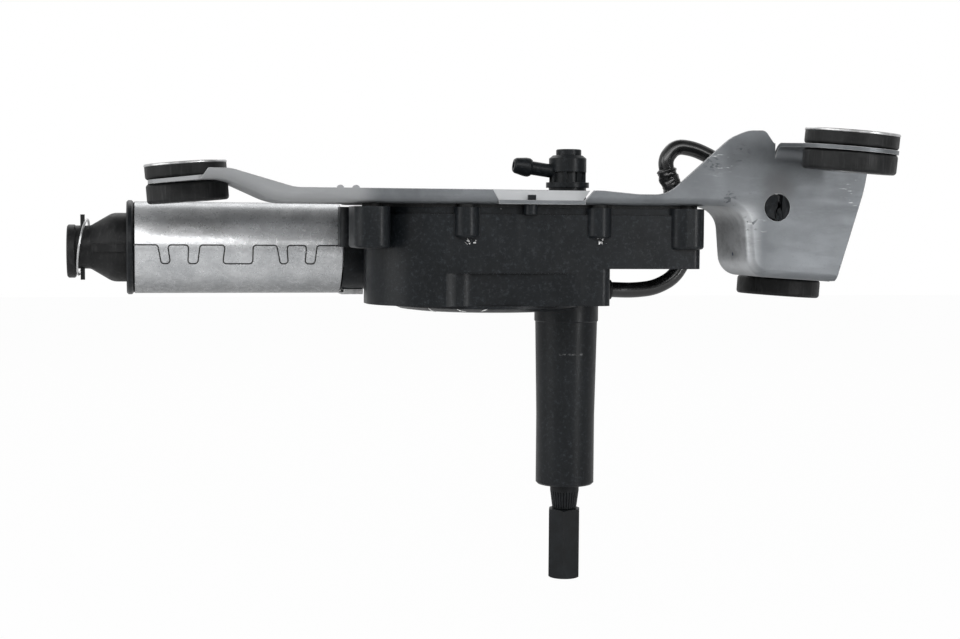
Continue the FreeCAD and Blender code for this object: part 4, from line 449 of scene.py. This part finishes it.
def glossy_vinyl(name, wrinkle_mm, swell_mm):
    """Shiny black sleeve or tape of the lead, with soft swells and wrinkles."""
    s = Shader(name)
    wrinkle = s.noise(0.30, 4, 0.6, distortion=1.2)
    bands = s.noise(0.07, 2, 0.5)
    fine = s.noise(1.6, 3, 0.6)
    colour = s.mix(s.ramp(wrinkle, 0.4, 0.7), grey(0.004, 0.1), grey(0.012, 0.1))
    s.set(Base_Color=colour, Roughness=s.ramp(fine, 0.3, 0.7, 0.16, 0.26), IOR=1.65)
    s.bump([(bands, swell_mm), (wrinkle, wrinkle_mm)])
    return s.material


def plain(name, low, high, rough, metallic=0.0):
    """Two close tones and a little grain."""
    s = Shader(name)
    tone = s.noise(0.2, 5, 0.6)
    fine = s.noise(1.8, 3, 0.5)
    roughness = s.ramp(fine, 0.3, 0.7, rough - 0.06, rough + 0.08)
    colour = s.mix(s.ramp(tone, 0.3, 0.7), low, high)
    s.set(Base_Color=colour, Metallic=metallic, Roughness=roughness)
    s.bump([(fine, 0.02)], 0.15)
    return s.material


MATERIALS = {
    "zinc_steel": zinc_sheet(),
    "yoke_steel": yoke_steel(),
    "bright_steel": bright_steel("bright_steel", 0.75, 0.28, 0.44),
    "hard_steel": bright_steel("hard_steel", 0.6, 0.2, 0.32, grain=0.004),
    "core_steel": bright_steel("core_steel", 0.35, 0.35, 0.5, grain=0.03),
    "black_steel": black_steel(),
    "housing_plastic": moulded_plastic("housing_plastic", 0.0065, 0.29, 0.40),
    "fine_plastic": moulded_plastic("fine_plastic", 0.006, 0.30, 0.42, dust=0.15, grain_mm=0.008),
    "natural_plastic": plain("natural_plastic", (0.62, 0.58, 0.48), (0.72, 0.69, 0.6), 0.45),
    "board_laminate": plain("board_laminate", (0.26, 0.16, 0.08), (0.36, 0.24, 0.12), 0.6),
    "rubber": rubber("rubber", 0.0075, 0.46),
    "ferrite": plain("ferrite", (0.05, 0.05, 0.052), (0.08, 0.08, 0.082), 0.6),
    "carbon": plain("carbon", (0.02, 0.02, 0.02), (0.05, 0.05, 0.05), 0.5),
    "copper": turned_copper(),
    "bronze": plain("bronze", (0.42, 0.26, 0.12), (0.56, 0.38, 0.2), 0.4, metallic=1.0),
}
OWN_FINISH = {"lead_sleeve": glossy_vinyl("lead_sleeve", 0.015, 0.25)}


def dress_nodes():
    slots = {p["node"]: p["material_slot"] for p in frame["record"]["subparts"]}
    for name, obj in frame["nodes"].items():
        for slot in obj.material_slots:
            slot.material = OWN_FINISH.get(name, MATERIALS[slots[name]])


dress_nodes()


# Fine pieces that the solids leave out


def add_piece(name, build, material, body="frame"):
    """Turns a bmesh made in millimetres into a piece that rides on a body."""
    for vert in build.verts:
        vert.co *= MM
    mesh = bpy.data.meshes.new(name)
    build.to_mesh(mesh)
    build.free()
    mesh.materials.append(material)
    piece = bpy.data.objects.new(name, mesh)
    bpy.context.collection.objects.link(piece)
    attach(piece, body)
    return piece


def swept(path, radius_at, sides):
    """Closed tube round a path, with a radius for each (share along, turn)."""
    build = bmesh.new()
    side = Vector((0, 0, 1)).cross(path[1] - path[0])
    if side.length < 1e-3:
        side = Vector((1, 0, 0))
    rings = []
    for i, at in enumerate(path):
        ahead = (path[min(i + 1, len(path) - 1)] - path[max(i - 1, 0)]).normalized()
        side = (side - ahead * side.dot(ahead)).normalized()
        other = ahead.cross(side)
        loop = []
        for k in range(sides):
            turn = 2 * math.pi * k / sides
            reach = radius_at(i / (len(path) - 1), turn)
            outward = side * math.cos(turn) + other * math.sin(turn)
            loop.append(build.verts.new(at + outward * reach))
        rings.append(loop)
    for one, two in zip(rings, rings[1:]):
        for k in range(sides):
            build.faces.new((one[k - 1], one[k], two[k], two[k - 1]))
    build.faces.new(rings[0][::-1])
    build.faces.new(rings[-1])
    return build


def smooth(piece):
    for face in piece.data.polygons:
        face.use_smooth = True


def spline_point(points, t):
    """Point on a quadratic B-spline through the middles of the runs between points."""
    i = min(int(t), len(points) - 3)
    u = t - i
    before, here, after = (Vector(p) for p in points[i:i + 3])
    return 0.5 * ((1 - u) ** 2 * before + (1 + 2 * u - 2 * u * u) * here + u * u * after)


LEAD_R = 3.35
# Stretch of the lead that the tape covers: its points, where on them it starts and how far it runs
TAPE_ROUTE = (
    (52.6, 4.2, 38.0),
    (49.6, 4.4, 47.0),
    (46.4, 4.6, 54.8),
    (45.2, 4.8, 61.6),
)
TAPE_START = 0.15
TAPE_RUN = 1.75
TAPE_STEPS = 44
TAPE_SIDES = 40
# Tape over the lead: its clearance, and its body, flutes and creases, which are of one size
TAPE_CLEAR = 0.15
TAPE_SWELL = 0.55
# Share of the swell that stays at the ends, and the shares of the run that taper
TAPE_END = 0.15
TAPE_TAPERS = (0.06, 0.05)


def noise_round(turn, width, along):
    """Noise on a tube that meets itself after a full turn."""
    return noise.noise(Vector((math.cos(turn) * width, math.sin(turn) * width, along)))


def lead_tape():
    """Ragged turns of tape round the lead where it climbs past the bracket."""
    places = [TAPE_START + TAPE_RUN * k / TAPE_STEPS for k in range(TAPE_STEPS + 1)]
    path = [spline_point(TAPE_ROUTE, place) for place in places]

    def radius_at(share, turn):
        flute = noise_round(turn, 1.6, share * 9.0)
        crease = abs(noise_round(turn, 3.5, share * 22.0 + 7.0))
        taper = min(1.0, share / TAPE_TAPERS[0], (1 - share) / TAPE_TAPERS[1])
        swell = TAPE_SWELL + TAPE_SWELL * flute + TAPE_SWELL * crease
        return LEAD_R + swell * max(taper, TAPE_END) + TAPE_CLEAR

    vinyl = glossy_vinyl("lead_tape", 0.16, 0.4)
    piece = add_piece("lead_tape", swept(path, radius_at, TAPE_SIDES), vinyl)
    smooth(piece)
    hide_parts("tape_wrap")


def torn_metal():
    s = Shader("torn_metal")
    tone = s.noise(0.9, 4, 0.7)
    colour = s.mix(s.ramp(tone, 0.35, 0.6), grey(0.22), grey(0.85))
    s.set(Base_Color=colour, Metallic=0.2, Roughness=0.5)
    s.bump([(tone, 0.05)])
    return s.material


FLASH_AT = ((-51.4, -41.6, 25.6), (2.6, -41.4, 26.1))
FLASH_SEEDS = (3, 8)
FLAKES = 26
FLAKE_CORNERS = 4


def screw_flash(name, centre, seed):
    """Little heap of torn flakes that the screw has pushed out under its boss."""
    pick = random.Random(seed)
    build = bmesh.new()
    for _ in range(FLAKES):
        drift = Vector((pick.gauss(0, 1.3), pick.gauss(0, 0.5), pick.uniform(-0.9, 1.2)))
        middle = Vector(centre) + drift
        corners = []
        for _ in range(FLAKE_CORNERS):
            offset = Vector((pick.uniform(-1, 1), pick.uniform(-1, 1), pick.uniform(-1, 1)))
            corners.append(build.verts.new(middle + offset * pick.uniform(0.35, 1.0)))
        for k in range(FLAKE_CORNERS):
            build.faces.new([corners[j] for j in range(FLAKE_CORNERS) if j != k])
    bmesh.ops.recalc_face_normals(build, faces=build.faces)
    add_piece(name, build, TORN)


# A fine line's sides, and the share of its radius at its ends
LINE_SIDES = 6
LINE_END = 0.3


def fine_line(name, points, radius, material):
    """Thin bent line: a pale arc or a fibre."""
    path = [Vector(p) for p in points]

    def radius_at(share, turn):
        return radius * (1.0 if 0 < share < 1 else LINE_END)

    build = swept(path, radius_at, LINE_SIDES)
    smooth(add_piece(name, build, material))


# Pale arcs under the disc: each corner's reach from the disc's centre, turn and height
DISC_CENTRE = (-36.0, -2.0)
DISC_ARCS = (
    ((39.48, -137.9, -1.25), (37.22, -138.2, -2.1), (34.5, -139.9, -2.6), (31.69, -141.9, -3.05)),
    ((39.43, -118.9, -1.25), (37.90, -117.6, -1.85), (36.65, -114.2, -2.4)),
    ((39.47, -101.1, -1.25), (38.89, -102.8, -1.5), (37.29, -104.9, -2.1)),
)
ARC_R = 0.3
FIBRES = (
    (
        (3.4, -41.6, 37.4),
        (2.6, -41.3, 34.0),
        (3.0, -41.0, 30.4),
        (0.6, -40.9, 28.6),
        (0.9, -40.9, 26.9),
    ),
    ((-30.0, -40.5, 30.0), (-27.0, -40.6, 31.0), (-24.6, -40.5, 33.4)),
)
FIBRE_R = 0.09


# Outlines of the clip's blocks as seen from the front, from the hole's middle
LEFT_BLOCK = (
    (-5.4, 1.2),
    (-4.7, 3.9),
    (-1.6, 5.2),
    (0.3, 4.9),
    (0.3, 0.4),
    (-0.5, -1.0),
    (-0.9, -4.7),
    (-4.9, -3.4),
)
RIGHT_BLOCK = ((2.6, 5.0), (4.1, 4.0), (5.6, 1.4), (5.2, -2.4), (2.9, -5.2), (2.2, -1.0))
SUNK_WEDGE = ((0.2, -0.8), (1.3, 0.0), (2.0, -1.2), (2.6, -5.0), (-0.7, -5.1))
# Each block with how far it peaks forward of its rim
CLIP_BLOCKS = ((LEFT_BLOCK, 0.8), (RIGHT_BLOCK, 0.7), (SUNK_WEDGE, -0.8))
# Depth of the blocks' rims behind the clip's front
CLIP_RIM = 0.9


def disc_point(reach, turn, height):
    angle = math.radians(turn)
    x, y = DISC_CENTRE
    return (x + reach * math.cos(angle), y + reach * math.sin(angle), height)


def clip_face():
    """End of the connector's clip in the bracket's hole: two peaked blocks and a sunk wedge."""
    low, high = (Vector(c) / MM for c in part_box("connector_clip"))
    middle = (low + high) / 2
    front = low.y
    build = bmesh.new()
    for block, rise in CLIP_BLOCKS:
        ring = [build.verts.new((middle.x + x, front + CLIP_RIM, middle.z + z)) for x, z in block]
        back = [build.verts.new((v.co.x, high.y, v.co.z)) for v in ring]
        centre = sum((v.co for v in ring), Vector()) / len(ring)
        hub = build.verts.new((centre.x, front + CLIP_RIM - rise, centre.z))
        for k in range(len(ring)):
            build.faces.new((ring[k - 1], ring[k], hub))
            build.faces.new((back[k - 1], back[k], ring[k], ring[k - 1]))
        build.faces.new(back)
    bmesh.ops.recalc_face_normals(build, faces=build.faces)
    piece = add_piece("clip_face", build, MATERIALS["fine_plastic"])
    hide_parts("connector_clip")


TORN = torn_metal()
PALE = plain("rubbed_line", grey(0.75), grey(0.9), 0.5)
lead_tape()
clip_face()
for number, arc in enumerate(DISC_ARCS):
    corners = [disc_point(*corner) for corner in arc]
    fine_line("disc_arc_" + str(number), corners, ARC_R, PALE)
for number, fibre in enumerate(FIBRES):
    fine_line("fibre_" + str(number), fibre, FIBRE_R, PALE)
for side, at, seed in zip(("left", "right"), FLASH_AT, FLASH_SEEDS):
    screw_flash("screw_flash_" + side, at, seed)


# Studio

FLOOR_Z = -0.134
FLOOR_HALF = 3.0
FLOOR_TONE = 0.9
# Share of plain white that the floor shows to the camera, and the lower one in reflections
FLOOR_SHOWN = 0.97
FLOOR_MIRRORED = 0.12
WORLD_LIGHT = 0.5
# Room that metal and gloss reflect, lower than the white background towards the camera and
# overhead: it gives the metal its form
ROOM_FRONT = 0.30
ROOM_WHITE = 0.95
CEILING_SHARE = 0.35
# Lamps: name, place, aim, size and power in watts
LAMPS = (
    ("key", (-0.35, -1.0, 0.62), (-0.05, 0, 0.02), (1.6, 0.7), 5.4),
    ("strip", (0.62, -0.95, 0.05), (0.0, 0, 0.02), (0.10, 0.7), 3.6),
    ("band", (-0.25, -1.0, 0.47), (-0.1, 0, 0.02), (1.4, 0.16), 2.0),
    ("left", (-1.1, -0.25, 0.25), (0.0, 0, 0.02), (0.7, 0.7), 2.6),
    ("back", (0.0, 0.9, 0.8), (0.0, 0, 0), (1.0, 0.5), 2.0),
)


def shown_white(nodes, lit, strength):
    """Mixes a lit closure with plain white for the rays that show the background itself."""
    glow = nodes.add("Emission")
    mix = nodes.add("MixShader")
    nodes.put(mix.inputs[0], strength)
    nodes.put(mix.inputs[1], lit)
    nodes.put(mix.inputs[2], glow.outputs[0])
    return mix.outputs[0]


def add_floor():
    mesh = bpy.data.meshes.new("floor")
    h = FLOOR_HALF
    corners = [(-h, -h, FLOOR_Z), (h, -h, FLOOR_Z), (h, h, FLOOR_Z), (-h, h, FLOOR_Z)]
    mesh.from_pydata(corners, [], [(0, 1, 2, 3)])
    floor = bpy.data.objects.new("floor", mesh)
    bpy.context.collection.objects.link(floor)
    material = bpy.data.materials.new("floor")
    material.use_nodes = True
    n = Nodes(material.node_tree)
    matt = n.add("BsdfDiffuse")
    n.put(matt.inputs["Color"], grey(FLOOR_TONE))
    rays = n.add("LightPath").outputs
    seen = n.most(rays["Is Camera Ray"], rays["Is Transmission Ray"])
    share = n.most(n.times(seen, FLOOR_SHOWN), n.times(rays["Is Glossy Ray"], FLOOR_MIRRORED))
    n.put(n.add("OutputMaterial").inputs[0], shown_white(n, matt.outputs[0], share))
    mesh.materials.append(material)


def add_world():
    """Even light, a white background, and a graded room in reflections."""
    world = bpy.data.worlds.new("studio")
    bpy.context.scene.world = world
    world.use_nodes = True
    n = Nodes(world.node_tree)
    way = n.parts_of(n.add("TexCoord").outputs["Generated"])
    room = n.ramp(way["Y"], -0.3, 0.35, ROOM_FRONT, ROOM_WHITE)
    room = n.most(room, n.ramp(way["X"], -0.45, -0.95, 0.0, ROOM_WHITE))
    room = n.times(room, n.ramp(way["Z"], 0.80, 0.95, 1.0, CEILING_SHARE))
    rays = n.add("LightPath").outputs
    light = n.add("Background")
    change = n.times(rays["Is Glossy Ray"], n.math("SUBTRACT", room, WORLD_LIGHT))
    strength = n.math("ADD", WORLD_LIGHT, change)
    n.put(light.inputs["Strength"], strength)
    seen = n.most(rays["Is Camera Ray"], rays["Is Transmission Ray"])
    n.put(n.add("OutputWorld").inputs[0], shown_white(n, light.outputs[0], seen))


def add_lamp(name, at, aim, size, watts):
    data = bpy.data.lights.new(name, "AREA")
    data.shape = "RECTANGLE"
    data.size, data.size_y = size
    data.energy = watts
    lamp = bpy.data.objects.new(name, data)
    lamp.location = at
    lamp.rotation_euler = (Vector(aim) - Vector(at)).to_track_quat("-Z", "Y").to_euler()
    bpy.context.collection.objects.link(lamp)


add_floor()
add_world()
for lamp in LAMPS:
    add_lamp(*lamp)

bpy.context.scene.view_settings.view_transform = "Standard"
